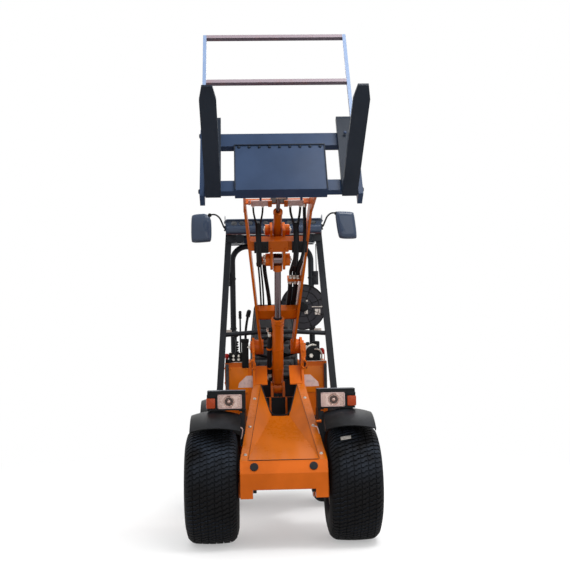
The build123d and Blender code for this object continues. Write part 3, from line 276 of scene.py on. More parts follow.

# %% [markdown]
# ## Rubber, plastic and metal
# Rubber is dark and rough. Rubber and plastic are paler on what faces up: a dusty bloom
# on hoses and most mouldings, and a painted highlight of sky light on the tyres, the
# fenders and the lamp boxes. Moulded plastic has a fine leather grain. Plated steel and
# chrome are metals, so they have no colour of their own but what they reflect, and
# their roughness tells them apart.

# %% Rubber and plastic finishes
def moulded(name, colour, rough, grain, depth, dust_and_sheen=0.25, dust_and_sheen_tint=tint(92, 96, 100)):
    finish = Finish(name, Specular_IOR_Level=0.14)
    cloudy = finish.noise(6.0, 5)
    cells = finish.cells("SMOOTH_F1", grain)
    up = finish.facing(2)
    # Paler on what faces up: dust where the share is small, a painted highlight of sky light where it is large.
    dust_and_sheen_share = finish.step(up, -0.1, 1.0) * finish.step(cloudy, 0.30, 0.75) * dust_and_sheen
    finish.set(Base_Color=finish.mix(dust_and_sheen_share, colour, dust_and_sheen_tint), Roughness=cloudy * 0.15 + (rough - 0.07))
    finish.set(Normal=finish.bump(cells, depth, 0.4, finish.rounded(0.002)))
    return finish.material


def metal(name, colour, rough, scratches, stained=0.2, stain=tint(96, 82, 74)):
    finish = Finish(name, Metallic=1.0)
    streaks = finish.noise(1.0, 4, at=finish.stretch(finish.place(), scratches))
    cloudy = finish.noise(18.0, 4)
    finish.set(Base_Color=finish.mix(finish.step(cloudy, 0.5, 0.8) * stained, colour, stain))
    finish.set(Roughness=streaks * 0.16 + cloudy * 0.12 + (rough - 0.12), Normal=finish.rounded(0.0012))
    return finish.material


finishes.update({
    # Painted highlights: the tyres' strong bluish tint on what faces up, and the fenders' faint one, stand in for
    # sky light on their tops.
    "tyre_rubber": moulded("tyre rubber", tint(9, 8, 9), 0.70, 300.0, 0.0006, 0.85, tint(58, 67, 80)),
    "rubber": moulded("hose rubber", tint(20, 21, 24), 0.50, 900.0, 0.0004, 0.25),
    "black_plastic": moulded("black plastic", tint(15, 16, 18), 0.42, 700.0, 0.0004, 0.20),
    "fender_plastic": moulded("fender plastic", tint(11, 12, 13), 0.45, 500.0, 0.0004, 0.12,
                              tint(96, 100, 110)),
    # Lamp-box plastic: its pale bluish top is a painted highlight of sky light.
    "sky_lit_plastic": moulded("plastic with painted sky highlight", tint(15, 16, 18), 0.45, 500.0, 0.0004, 0.95,
                             tint(104, 109, 122)),
    "red_plastic": moulded("red plastic", tint(158, 28, 22), 0.40, 500.0, 0.0003, 0.1),
    "rod_chrome": metal("rod chrome", tint(96, 84, 86), 0.20, (300.0, 20.0, 20.0), 0.10),
    "zinc_steel": metal("zinc steel", tint(196, 192, 184), 0.34, (60.0, 60.0, 60.0)),
    "dark_steel": metal("dark steel", tint(104, 100, 98), 0.42, (40.0, 40.0, 40.0), 0.5),
    "reflector": metal("lamp reflector", tint(232, 206, 196), 0.26, (20.0, 20.0, 20.0), 0.12),
})
print("finishes so far:", len(finishes))

# %% [markdown]
# ## Lenses, vinyl and labels
# A lens is a thin pane with moulded ribs in front of a bowl. Transmission would
# bend the light as thick glass does. A low alpha is plainer for so thin a pane:
# the bowl shows through it, and its surface still catches the lamps. The amber
# and red panes are closed colours with a faint glow of their own. The seat's
# vinyl has a soft grain. The pale labels carry no words: they are bare paper.

# %% Lens, vinyl and label finishes
def lens(name, colour, ribs, clear, glow=0.0):
    """Coloured or clear plastic pane with moulded ribs; clear is how much shows through."""
    finish = Finish(name, IOR=1.49, Specular_IOR_Level=0.3, Alpha=1 - clear)
    across = finish.part(finish.place(), 0)
    wave = (across * ribs).math("SINE", 0.0)
    finish.set(Roughness=finish.noise(40.0, 2) * 0.1 + 0.22, Normal=finish.bump(wave, 0.0004, 0.15))
    finish.set(Base_Color=finish.mix(finish.noise(30.0, 2), colour, tuple(value * 0.7 for value in colour)))
    finish.set(Emission_Strength=glow, Emission_Color=colour)
    return finish.material


def vinyl():
    finish = Finish("seat vinyl", Sheen_Weight=0.15)
    cells = finish.cells("F1", 420.0)
    cloudy = finish.noise(7.0, 5)
    finish.set(Base_Color=finish.mix(cloudy, tint(26, 27, 30), tint(44, 45, 49)))
    finish.set(Roughness=cloudy * 0.2 + 0.38, Normal=finish.bump(cells, 0.0006, 0.5))
    return finish.material


def label(name, fresh, faded):
    finish = Finish(name)
    aged = finish.noise(60.0, 5)
    finish.set(Base_Color=finish.mix(finish.step(aged, 0.4, 0.75), fresh, faded))
    finish.set(Roughness=aged * 0.2 + 0.4)
    return finish.material


finishes.update({
    "lamp_lens": lens("clear lens", tint(170, 140, 130), 300.0, 0.86),
    "amber_lens": lens("amber lens", tint(178, 62, 4), 300.0, 0.0, 0.02),
    "red_lens": lens("red lens", tint(150, 12, 10), 500.0, 0.0, 0.02),
    # A pale pinkish sheet; on the tower wings it is a painted reflection of the sky on their orange plates.
    "pale_sheet_and_glare": label("pale sheet and painted glare", tint(206, 176, 170), tint(176, 150, 148)),
    "seat_vinyl": vinyl(),
    "label": label("blank label", tint(214, 208, 200), tint(168, 158, 150)),
})
print("finishes in all:", len(finishes))

# %% [markdown]
# ## Dressing the solids
# Every solid already has a place in the record's list of subparts, with the
# name of its material slot, so most of them get their finish in one loop. A few
# need their own, such as the folded hood cover, which is glossier.

# %% Finishes for the solids
slot_of = {part["node"]: part["material_slot"] for part in frame["record"]["subparts"]}
# The tower wings take a pale sheet that paints the sky's reflection on their orange plates; the lamp boxes take
# plastic with a painted highlight on top.
special = {"front_hood_cover": "orange_cover", "load_backrest": "guard_paint",
           "tower_wings": "pale_sheet_and_glare", "lamp_boxes": "sky_lit_plastic",
           "front_fenders": "fender_plastic", "rear_fenders": "fender_plastic",
           "left_fork": "fork_paint", "right_fork": "fork_paint",
           "roof_canopy": "roof_paint", "round_cover": "disc_paint"}
for name, solid in nodes.items():
    chosen = finishes[special.get(name, slot_of[name])]
    solid.data.materials.clear()
    solid.data.materials.append(chosen)
print("dressed", len(nodes), "solids")

# %% [markdown]
# ## Places on the machine
# The builder thinks in millimetres from the steering hinge, the boom is easiest
# to measure along itself, and the forks along their own back. Three matrices do
# that: a point goes in as (across, along, over) and comes out in metres.

# %% Measuring frames
hinges = {joint["name"]: joint for joint in frame["joints"]}
hinge_y = hinges["articulation"]["pos_m"][1]
mm = Matrix.Scale(0.001, 4)
BASE = Matrix.Translation((0, hinge_y, 0)) @ mm


def leaning(origin, angle, turned_back):
    """A frame whose second axis leans by this angle above the floor."""
    along = (-math.cos(angle), math.sin(angle))
    over = (math.sin(angle), math.cos(angle))
    if turned_back:
        along, over = (math.cos(angle), -math.sin(angle)), (math.sin(angle), math.cos(angle))
    rows = [(1, 0, 0, 0), (0, along[0], over[0], 0), (0, along[1], over[1], 0), (0, 0, 0, 1)]
    return Matrix.Translation(origin) @ Matrix(rows) @ mm


BOOM = leaning(hinges["boom_lift"]["pos_m"], math.radians(52), False)
pin = Vector(hinges["tool_tilt"]["pos_m"])
heel = leaning((0, 0, 0), math.radians(30.8), True) @ Vector((0, 124.5, 166))
TOOL = leaning(pin - heel, math.radians(30.8), True)
print("boom pivot", tuple(round(v, 3) for v in BOOM.translation), "fork heel",
      tuple(round(v, 3) for v in TOOL.translation))

# %% [markdown]
# ## A small workshop
# Bolts, plates, tubes and turned parts come back again and again. One class
# collects them in a bmesh, in whichever measuring frame is handy, and makes one
# object of them at the end. That keeps the number of objects low, and each
# part keeps real edges instead of only a bump in its material.

# %% The Shape class
class Shape:
    """Collects parts in a mesh, given in millimetres of a measuring frame."""

    def __init__(self, frame_matrix=BASE):
        self.mesh = bmesh.new()
        self.frame = frame_matrix

    def keep(self, made, local=Matrix.Identity(4)):
        """Moves new vertices from their own frame to the measuring frame."""
        bmesh.ops.transform(self.mesh, matrix=self.frame @ local, verts=made)
        return made

    def block(self, x, y, z, edge=0.0):
        """Box from three (low, high) pairs, with its edges cut by edge."""
        middle = [(low + high) / 2 for low, high in (x, y, z)]
        size = [abs(high - low) for low, high in (x, y, z)]
        local = Matrix.Translation(middle) @ Matrix.Diagonal((*size, 1))
        made = bmesh.ops.create_cube(self.mesh, size=1)["verts"]
        bmesh.ops.transform(self.mesh, matrix=local, verts=made)
        if edge:
            sides = list({side for corner in made for side in corner.link_edges})
            cut = bmesh.ops.bevel(self.mesh, geom=sides, offset=edge, segments=2, profile=0.7,
                                  affect="EDGES")
            fresh = {corner for face in cut["faces"] for corner in face.verts}
            made = list(fresh | {corner for corner in made if corner.is_valid})
        return self.keep(made)

    def turned(self, profile, place, way, sides=24, twist=0.0, ring_shaped=False):
        """Solid of revolution: (radius, height) points about way, from place."""
        local = Matrix.Translation(place) @ Vector(way).to_track_quat("Z", "Y").to_matrix().to_4x4()
        rings = []
        for radius, height in profile:
            ring = []
            for side in range(sides):
                turn = 2 * math.pi * side / sides + twist
                ring.append(self.mesh.verts.new((radius * math.cos(turn), radius * math.sin(turn), height)))
            rings.append(ring)
        for low, high in zip(rings, rings[1:] + rings[:1] if ring_shaped else rings[1:]):
            for side in range(sides):
                after = (side + 1) % sides
                self.mesh.faces.new((low[side], low[after], high[after], high[side]))
        if profile[0][0] > 0.01 and not ring_shaped:
            self.mesh.faces.new(reversed(rings[0]))
        if profile[-1][0] > 0.01 and not ring_shaped:
            self.mesh.faces.new(rings[-1])
        return self.keep([corner for ring in rings for corner in ring], local)

    def bolt(self, place, way, size=10.0):
        """Washer and hexagon head with a chamfer."""
        self.turned([(size * 1.15, 0), (size * 1.15, size * 0.16), (size * 0.9, size * 0.2)], place, way,
                    20)
        head = Vector(place) + Vector(way).normalized() * size * 0.2
        self.turned([(size, 0), (size, size * 0.5), (size * 0.84, size * 0.66)], head, way, 6, 0.3)

    def plate(self, outline, x):
        """Plate of an outline in the frame's last two axes, between two x values."""
        ends = [[self.mesh.verts.new((side, *point)) for point in outline] for side in x]
        self.mesh.faces.new(reversed(ends[0]))
        self.mesh.faces.new(ends[1])
        for index in range(len(outline)):
            after = (index + 1) % len(outline)
            self.mesh.faces.new((ends[0][index], ends[0][after], ends[1][after], ends[1][index]))
        return self.keep(ends[0] + ends[1])

    def tube(self, points, radius, sides=12, closed=False, ripple=0.0, pitch=1):
        """Tube along points, with a radius that may ripple ring by ring."""
        points = [Vector(point) for point in points]
        rings = []
        normal = None
        for index, point in enumerate(points):
            before = points[index - 1] if index or closed else point
            after = points[(index + 1) % len(points)] if index + 1 < len(points) or closed else point
            way = (after - before).normalized()
            if normal is None:
                normal = way.orthogonal().normalized()
            normal = (normal - way * normal.dot(way)).normalized()
            side_way = way.cross(normal)
            size = radius * (1 + (ripple if (index // pitch) % 2 else 0.0))
            ring = []
            for side in range(sides):
                turn = 2 * math.pi * side / sides
                aside = normal * math.cos(turn) + side_way * math.sin(turn)
                ring.append(self.mesh.verts.new(point + aside * size))
            rings.append(ring)
        pairs = list(zip(rings, rings[1:])) + ([(rings[-1], rings[0])] if closed else [])
        for low, high in pairs:
            for side in range(sides):
                after = (side + 1) % sides
                self.mesh.faces.new((low[side], low[after], high[after], high[side]))
        if not closed:
            self.mesh.faces.new(reversed(rings[0]))
            self.mesh.faces.new(rings[-1])
        return self.keep([corner for ring in rings for corner in ring])

    def weld(self, start, end, size=4.0, step=5.0):
        """Bead between two points, rippled as a hand weld is."""
        start, end = Vector(start), Vector(end)
        count = max(2, int((end - start).length / step))
        points = [start.lerp(end, index / count) for index in range(count + 1)]
        self.tube(points, size, 6, ripple=0.22)

    def piece(self, name, body, finish, slot=None, smooth=32.0):
        """The object that these parts make, riding on a body; slot is not used."""
        bmesh.ops.remove_doubles(self.mesh, verts=self.mesh.verts, dist=1e-6)
        bmesh.ops.recalc_face_normals(self.mesh, faces=self.mesh.faces)
        data = bpy.data.meshes.new(name)
        self.mesh.to_mesh(data)
        self.mesh.free()
        made = bpy.data.objects.new(name, data)
        bpy.context.scene.collection.objects.link(made)
        data.materials.append(finishes[finish])
        for face in data.polygons:
            face.use_smooth = True
        data.set_sharp_from_angle(angle=math.radians(smooth))
        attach(made, body)
        print("made", name, "with", len(data.polygons), "faces")
        return made

# %% [markdown]
# ## Turf tyres
# Wide low tyres that spare the grass carry many small S-shaped blocks instead of
# deep bars. A displacement texture would blur them, so each block is a real
# extrusion: its outline waves along the tread, and every corner takes the
# crowned radius of the tyre at its own place, so the shoulders curve over.

# %% Tyre shapes
TYRE_TOP, TREAD_DEEP = 330.0, 8.0
CROWN_HALF, CROWN_DROP, SHOULDER_WIDE, SHOULDER_DROP = 86, 4, 66, 48


def crown(x):
    """Outer radius of the tread across the tyre."""
    side = abs(x)
    if side <= CROWN_HALF:
        return TYRE_TOP - CROWN_DROP * (side / CROWN_HALF) ** 2
    return TYRE_TOP - CROWN_DROP - SHOULDER_DROP * min(1.0, (side - CROWN_HALF) / SHOULDER_WIDE) ** 2.4


def carcass():
    """(radius, place across) outline of the tyre without its tread."""
    wall = [(158, 0), (172, 12), (178, 14), (186, 15.5), (190, 18.5), (196, 18.5), (199, 16.5), (222, 20.5),
            (236, 21.2), (240, 22.0), (248, 22.0), (252, 20.6), (262, 19.0)]
    left = [(radius, -130.5 - place) for radius, place in wall]
    top = [(crown(x) - TREAD_DEEP, x) for x in range(-144, 145, 8)]
    return left + top + [(radius, 130.5 + place) for radius, place in reversed(wall)]


def tread(shape, centre, rows=72, width=35.5, tall=17.5, wave=5.4):
    """Seven columns of S-shaped blocks round the tyre."""
    spots = [(-0.5, -1.0), (-0.14, -1.0), (0.14, 1.0), (0.5, 1.0)]
    pitch = 2 * math.pi / rows
    for column in range(7):
        middle = (column - 3) * 40.5
        for row in range(rows):
            start = pitch * (row + 0.5 * (column % 2))
            rings = []
            for lift, grow in ((0.0, 0.0), (-TREAD_DEEP - 1.5, 1.6)):
                ring = []
                for end in (-1, 1):
                    for u, t in spots[::-end]:
                        x = middle + u * (width + grow)
                        radius = crown(x)
                        turn = start + (t * wave + end * (tall + grow) / 2) / radius
                        radius += lift
                        spot = (centre[0] + x, centre[1] + radius * math.sin(turn),
                                centre[2] + radius * math.cos(turn))
                        ring.append(shape.mesh.verts.new(spot))
                rings.append(ring)
            top, low = rings
            for first, second in ((0, 1), (1, 2), (2, 3)):
                shape.mesh.faces.new((top[first], top[second], top[7 - second], top[7 - first]))
            for index in range(8):
                after = (index + 1) % 8
                shape.mesh.faces.new((top[index], top[after], low[after], low[index]))
            shape.keep(top + low)


# %% Four tyres on their wheels
wheel_centres = {}
for wheel in ("front_left", "front_right", "rear_left", "rear_right"):
    spin = hinges[wheel + "_spin"]["pos_m"]
    centre = (spin[0] * 1000, (spin[1] - hinge_y) * 1000, spin[2] * 1000)
    wheel_centres[wheel] = centre
    tyre = Shape()
    tyre.turned(carcass(), centre, (1, 0, 0), 96, ring_shaped=True)
    tread(tyre, centre)
    made = tyre.piece(wheel + "_turf_tyre", wheel + "_wheel", "tyre_rubber", "tyre_rubber", 38)
    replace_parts(made, wheel + "_tyre")

# %% [markdown]
# ## Wheel nuts and valves
# Each wheel is held by five hexagon nuts on studs, and has a short rubber valve
# near the rim. They are small, but a wheel without them looks like a toy's.

# %% Wheel nuts and valves
HUB_FACE, NUT_CIRCLE = 312, 68
NUT = [(15, 0), (15, 2), (11.5, 2.2), (11.5, 11), (9.8, 13), (7.2, 13), (7.2, 17), (6, 18)]
for wheel, centre in wheel_centres.items():
    side = 1 if centre[0] > 0 else -1
    hub = Shape()
    for count in range(5):
        turn = math.radians(72 * count + 90)
        spot = (side * HUB_FACE, centre[1] + NUT_CIRCLE * math.cos(turn),
                centre[2] + NUT_CIRCLE * math.sin(turn))
        hub.turned(NUT, spot, (side, 0, 0), 6)
    hub.turned([(40, 0), (40, 8), (34, 16), (12, 20), (0, 20)], (side * 338, centre[1], centre[2]),
               (side, 0, 0), 32)
    hub.piece(wheel + "_wheel_nuts", wheel + "_wheel", "zinc_steel")
    valve = Shape()
    valve.tube([(side * 420, centre[1] + 112, centre[2]), (side * 436, centre[1] + 116, centre[2]),
                (side * 452, centre[1] + 118, centre[2])], 4.5, 10)
    valve.piece(wheel + "_valve", wheel + "_wheel", "rubber")

# %% [markdown]
# ## Work lamps
# A headlamp is a shallow bright reflector with a round bowl, a bulb in its
# middle and a ribbed pane. The solid model has one plain block for it, so the
# new lamp replaces that block and sits in the same pocket of the black box. The
# indicator beside it is one closed amber block with soft edges under a cap.

# %% Headlamps
LAMP_X, LAMP_Z = 305, 817


def across(side, low, high):
    """An x pair, mirrored for the machine's right side."""
    return (low, high) if side > 0 else (-high, -low)


def lamp(side, word):
    rim = Shape()
    for low, high, z in ((230, 370, (776, 782)), (230, 370, (852, 858)), (230, 237, (776, 858)),
                         (363, 370, (776, 858))):
        rim.block(across(side, low, high), (-709, -694), z, 1.2)
    rim.piece("lamp_bezel_" + word, "front_frame", "pale_sheet_and_glare", "zinc_steel")
    back = Shape()
    back.block(across(side, 236, 364), (-697.5, -694), (781, 853))
    bowl = [(35, 0), (35, -4), (32.5, -5), (29, -1), (26, 1.0), (24, 1.5)]
    back.turned([(radius, -height) for radius, height in bowl], (side * LAMP_X, -698, LAMP_Z), (0, -1, 0),
                44)
    for step in range(5):
        low = 240 + step * 4.2
        back.block(across(side, low, low + 1.6), (-699.5, -697), (784, 850), 0.4)
        back.block(across(side, 600 - low - 1.6, 600 - low), (-699.5, -697), (784, 850), 0.4)
    back.piece("lamp_reflector_" + word, "front_frame", "reflector", "zinc_steel")
    bulb = Shape()
    bulb.turned([(25, -0.5), (25, 1), (21, 2.0), (0, 2.0)], (side * LAMP_X, -697.5, LAMP_Z), (0, -1, 0), 32)
    bulb.piece("lamp_bowl_" + word, "front_frame", "black_plastic")
    cap = Shape()
    cap.turned([(9, 0), (9, 3), (6.5, 6), (3, 8), (0, 8.4)], (side * LAMP_X, -700, LAMP_Z), (0, -1, 0), 24)
    cap.piece("lamp_bulb_" + word, "front_frame", "reflector", "lamp_lens")
    pane = Shape()
    pane.block(across(side, 236, 364), (-710.5, -709.2), (781, 853), 0.5)
    return pane.piece("lamp_pane_" + word, "front_frame", "lamp_lens")


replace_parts(lamp(1, "left"), "headlamps")
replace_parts(lamp(-1, "right"), "headlamps")

# %% Indicators
for side, word in ((1, "left"), (-1, "right")):
    x = sorted((side * 384, side * 437))
    amber = Shape()
    amber.block(x, (-707, -652), (778, 838), 9)
    made = amber.piece("indicator_lens_" + word, "front_frame", "amber_lens")
    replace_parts(made, "indicators")
    holder = Shape()
    holder.block(sorted((side * 382, side * 433)), (-703, -650), (838.5, 858), 3)
    holder.piece("indicator_cap_" + word, "front_frame", "black_plastic")

# %% [markdown]
# ## Bolts, pins and welds
# Hexagon bolts hold the folded cover on both flanges, and every pin of the boom
# has a keeper plate with one bolt. Weld beads fill the corners where the boom's
# cross boxes meet its cheeks; they are rippled tubes, half sunk in the corner.

# %% Cover bolts
cover_bolts = Shape()
for side in (1, -1):
    low, high = Vector((side * 220, -902, 500)), Vector((side * 136, -300, 890))
    for share in (0.07, 0.42, 0.80):
        spot = low.lerp(high, share)
        cover_bolts.turned([(10, 0), (10, 1.6), (7.5, 2.0), (7.2, 4.6), (5.2, 6.0), (0, 6.2)], spot,
                           (0, -0.544, 0.839), 20)
cover_bolts.piece("cover_bolts", "front_frame", "zinc_steel")

# %% Pin keepers on the tower and the fork hinge
keepers = Shape()
for side in (1, -1):
    x = sorted((side * 173, side * 178))
    keepers.block(x, (-78, 12), (1104, 1140), 2)
    keepers.bolt((side * 178, 0, 1122), (side, 0, 0), 9)
    keepers.turned([(9, 0), (9, 3), (5, 9), (3.5, 12), (3.5, 15), (0, 16)], (side * 178, -60, 1122),
                   (side, 0, 0), 16)
keepers.piece("pivot_keepers", "front_frame", "zinc_steel")

tool_bolts = Shape(TOOL)
for side in (1, -1):
    tool_bolts.turned([(24, 0), (24, 5), (20, 6), (20, 8), (0, 8)], (side * 230, 124.5, 166), (side, 0, 0),
                      28)
    tool_bolts.bolt((side * 238, 124.5, 166), (side, 0, 0), 9)
    tool_bolts.turned([(17, 0), (17, 4), (9, 5), (0, 5)], (side * 47, 144.5, 316), (side, 0, 0), 20)
tool_bolts.piece("tool_pin_caps", "tool", "zinc_steel")

# %% Weld beads on the boom
BOOM_LENGTH, FOOT_HALF, HEAD_HALF = 1084, 104, 195


def cheek(along):
    """Distance of a boom cheek from the middle, at a place along the boom."""
    return FOOT_HALF + (HEAD_HALF - FOOT_HALF) / BOOM_LENGTH * along


beads = Shape(BOOM)
for along, over in ((282, 0), (826, -45)):
    for end in (along - 30, along + 30):
        half = cheek(end) - 9
        for side in (1, -1):
            beads.weld((side * half, end, over - 27), (side * half, end, over + 27), 4.5)
for side in (1, -1):
    half = cheek(796) - 12
    beads.weld((side * 46, 796, -74), (side * half, 796, -74), 3.5)
beads.piece("boom_welds", "boom", "orange_paint")

# %% [markdown]
# ## Hose fittings, wraps and the pipe bar
# A hydraulic hose ends in a crimped sleeve and a hexagon nut, and it is rigid for
# as long as the sleeve is. Each end is one solid of revolution, set square on
# the shelf that it screws into. Where two lines run close together, fitters wrap
# them in a textile sleeve, and where they rub they wear a spiral guard: both are
# fatter tubes over the same smooth path, one plain and one rippled. A bar with
# bolted clamps and a small valve hold the lines in place near the tool's hinge.

# %% Smooth paths
def bent(points, steps=8):
    """A path through straight runs whose corners are rounded off."""
    points = [Vector(point) for point in points]
    path = [points[0]]
    for before, corner, after in zip(points, points[1:], points[2:]):
        cut = 0.45 * min((corner - before).length, (after - corner).length)
        start = corner + (before - corner).normalized() * cut
        end = corner + (after - corner).normalized() * cut
        for index in range(steps + 1):
            share = index / steps
            path.append(start.lerp(corner, share).lerp(corner.lerp(end, share), share))
    return path + [points[-1]]


def even(path, step):
    """The same path with points at equal distances."""
    spots, left = [path[0]], step
    for start, end in zip(path, path[1:]):
        run = (end - start).length
        while left <= run:
            spots.append(start.lerp(end, left / run))
            left += step
        left -= run
    return spots


def ring_path(middle, first, second, count):
    """Closed ring of points round middle; first and second are its half axes."""
    turns = (2 * math.pi * step / count for step in range(count))
    return [tuple(m + a * math.cos(turn) + b * math.sin(turn) for m, a, b in zip(middle, first, second))
            for turn in turns]


# %% Hose ends and fittings
def hose_end(shape, place, way, radius, length=34):
    """Hexagon nut, crimped sleeve and a small collar, from the shelf outwards."""
    nut = [(radius + 5.5, 0), (radius + 5.5, 9), (radius + 4.4, 11)]
    shape.turned(nut, place, way, 6)
    place = Vector(place) + Vector(way) * 10
    sleeve = [(radius + 2.4, 0)]
    for ring in range(4):
        low = 2 + ring * (length - 16) / 4
        sleeve += [(radius + 3.6, low), (radius + 3.6, low + 2.4), (radius + 2.6, low + 3.2)]
    sleeve += [(radius + 2.4, length - 12), (radius + 0.6, length - 10)]
    shape.turned(sleeve, place, way, 20)


lines = [(-144, 5.5), (-88, 5.5), (74, 7), (133, 7), (158, 10)]
fittings = Shape(BOOM)
for x, radius in lines:
    hose_end(fittings, (x, 1072, 20), (0, -1, 0), radius)
for x, radius in ((82, 7), (104, 7), (127, 10)):
    hose_end(fittings, (x, 528, 14), (0, 1, 0), radius, 28)
for x in (80, 112):
    hose_end(fittings, (x, 520, 16), (0, -1, 0), 13, 30)
for x, over, radius in ((-100, 50, 5.5), (-84, 50, 5.5), (-46, 52, 12), (70, 54, 13), (99, 54, 13)):
    hose_end(fittings, (x, 215, over), (0, 1, 0), radius)
hose_end(fittings, (-80, 668, 20), (0, -1, 0), 12)
elbow = bent([(-80, 676, 20), (-80, 702, 14), (-74.5, 708, -6)])
fittings.tube(elbow, 9, 14)
fittings.turned([(15, 0), (15, 9), (12, 11)], (-80, 677, 20), (0, 1, 0), 6)
fittings.piece("hose_fittings", "boom", "zinc_steel", "zinc_steel", 30)

# %% Wraps and spiral guards
wraps = Shape(BOOM)
for middle in ((-115.5, -115, -114.5, -112), (107, 107.5, 107.5, 105.5)):
    route = [(middle[0], 945, -16), (middle[0], 930, -27), (middle[1], 866, -91), (middle[2], 788, -95),
             (middle[3], 700, -62), (middle[3] - 1 if middle[3] < 0 else 104, 668, -44)]
    path = even(bent(route), 6.0)
    wraps.tube(path, 16.5, 16, ripple=0.02)
    for spot, after in ((path[2], path[3]), (path[-4], path[-3])):
        wraps.turned([(17.5, -4), (18.5, -3), (18.5, 3), (17.5, 4)], spot, after - spot, 20)
wraps.piece("hose_wraps", "boom", "rubber", "rubber", 45)
guards = Shape(BOOM)
for route, radius in (([(97, 710, -64), (88, 635, -22), (82, 580, 14), (82, 556, 14)], 9.5),
                      ([(114, 710, -64), (107, 635, -22), (104, 580, 14), (104, 556, 14)], 9.5),
                      ([(139, 710, -66), (131, 635, -22), (127, 580, 14), (127, 556, 14)], 12.5)):
    guards.tube(even(bent(route), 3.0), radius, 14, ripple=0.12, pitch=2)
guards.piece("spiral_guards", "boom", "rubber", "rubber", 60)

# %% Pipe bar and valve above the boom
bar = Shape(BOOM)
for x in ((-158, -36), (36, 150)):
    bar.block(x, (1068, 1104), (-24, -10.5), 2)
bar.block((-172, -162), (1070, 1100), (-14, -3), 2)
for x in (-144, -88, 74, 110, 140):
    bar.bolt((x, 1086, -24), (0, 0, -1), 5.5)
bar.piece("pipe_bar", "boom", "pale_sheet_and_glare", "zinc_steel")
clamp = Shape(BOOM)
for side in (1, -1):
    clamp.block(across(side, 35, 58), (1066, 1106), (-32, -24.5), 3)
    clamp.bolt((side * 47, 1086, -32), (0, 0, -1), 6)
clamp.piece("pipe_clamp", "boom", "orange_paint")
valve = Shape(BOOM)
valve.block((-42, 58), (1080.5, 1128), (-10, 34), 4)
for x in (-24, 8, 40):
    valve.turned([(11, 0), (11, 6), (8, 9), (8, 15), (6, 17), (0, 17)], (x, 1128, 12), (0, 1, 0), 6)
valve.piece("boom_valve", "boom", "dark_steel", "cast_block")

# %% [markdown]
# ## Cylinder heads, ports and pin caps
# The rod leaves its barrel through a screwed head with a wiper lip that scrapes
# the dirt off. A port is a short boss with a fitting in it. The pins that carry
# the cylinders show as round caps on the outside of the bosses, each with its
# keeper bolt. These parts ride on the barrel, so they swing with it.

# %% Cylinder heads
lift_eye = BASE.inverted() @ (BOOM @ Vector((0, 697, -30)))
lift_foot, lift_eye = Vector((0, -70, 860)), Vector((0, lift_eye.y, lift_eye.z))
LIFT_HOSE_X = -50


def head_parts(name, body, foot, way, length, barrel, rod):
    """Screwed head with spanner slots, and the wiper lip round the rod."""
    shape = Shape()
    ring = [(rod + 1.5, -4), (barrel * 1.12 + 2, -4), (barrel * 1.12 + 2, 3), (barrel * 1.06, 6),
            (rod + 1.5, 6)]
    shape.turned(ring, foot + way * length, way, 40, ring_shaped=True)
    band = [(barrel + 0.2, 0), (barrel + 3, 1), (barrel + 3, 13), (barrel + 0.2, 14)]
    shape.turned(band, foot + way * (length - barrel * 0.7 - 22), way, 40, ring_shaped=True)
    shape.piece(name + "_head", body, "orange_paint")
    wiper = Shape()
    lip = [(rod + 0.3, 0), (rod + 7, 0), (rod + 6, 5), (rod + 2, 8), (rod + 0.3, 8)]
    wiper.turned(lip, foot + way * (length + 6), way, 36, ring_shaped=True)
    wiper.piece(name + "_wiper", body, "rubber")


lift_way = (lift_eye - lift_foot).normalized()
head_parts("lift", "lift_barrel", lift_foot, lift_way, 500, 36, 20)
ports = Shape()
for distance in (70, 425):
    spot = lift_foot + lift_way * distance + Vector((LIFT_HOSE_X, 0, 0))
    inward = 1 if distance < 200 else -1
    hose_end(ports, spot + lift_way * inward * 13, lift_way * inward, 9, 36)
    ports.turned([(15, -1), (15, 10), (11, 12)], spot + Vector((-9, 0, 0)), (-1, 0, 0), 6)
ports.piece("lift_ports", "lift_barrel", "zinc_steel")
strap = Shape()
for distance in (150, 290):
    spot = lift_foot + lift_way * distance
    strap.turned([(36.2, -6), (37.6, -6), (37.6, 6), (36.2, 6)], spot, lift_way, 36, ring_shaped=True)
    strap.turned([(15.6, -6), (17.6, -6), (17.6, 6), (15.6, 6)], spot + Vector((LIFT_HOSE_X - 4, 0, 0)),
                 lift_way, 20, ring_shaped=True)
strap.piece("lift_hose_straps", "lift_barrel", "orange_paint")
sleeve = Shape()
run = [lift_foot + lift_way * distance + Vector((LIFT_HOSE_X - bow, 0, 0)) for distance,
       bow in ((108, 0), (150, 4), (290, 4), (372, 0))]
sleeve.tube(even(bent(run), 5.0), 14.2, 18, ripple=0.03)
sleeve.piece("lift_hose_sleeve", "lift_barrel", "rubber", "rubber", 50)

# %% Pin caps on the boom's clevis
caps = Shape(BOOM)
for side in (1, -1):
    for along, over, radius in ((697, -30, 24), (746, 75, 19), (846, 72, 21)):
        place = (side * 74, along, over)
        caps.turned([(radius, 0), (radius, 4), (radius - 3, 6), (0, 6)], place, (side, 0, 0), 30)
        caps.bolt((side * 80, along, over), (side, 0, 0), 7)
caps.piece("clevis_pin_caps", "boom", "zinc_steel")
rims = Shape(BOOM)
for side in (1, -1):
    for along, over, radius in ((697, -30, 38), (746, 75, 28), (846, 72, 33)):
        ring = [(radius + 0.3, -2), (radius + 3.5, 0.5), (radius + 0.3, 4)]
        rims.turned(ring, (side * 45, along, over), (side, 0, 0), 40, ring_shaped=True)
    rims.bolt((side * 42, 808, -86), (0, 0, -1), 8)
    rims.bolt((side * 48, 826, -45), (side, 0, 0), 8)
    rims.weld((side * 60, 788, -80), (side * 60, 864, -80), 3.5)
rims.piece("clevis_welds", "boom", "orange_paint")
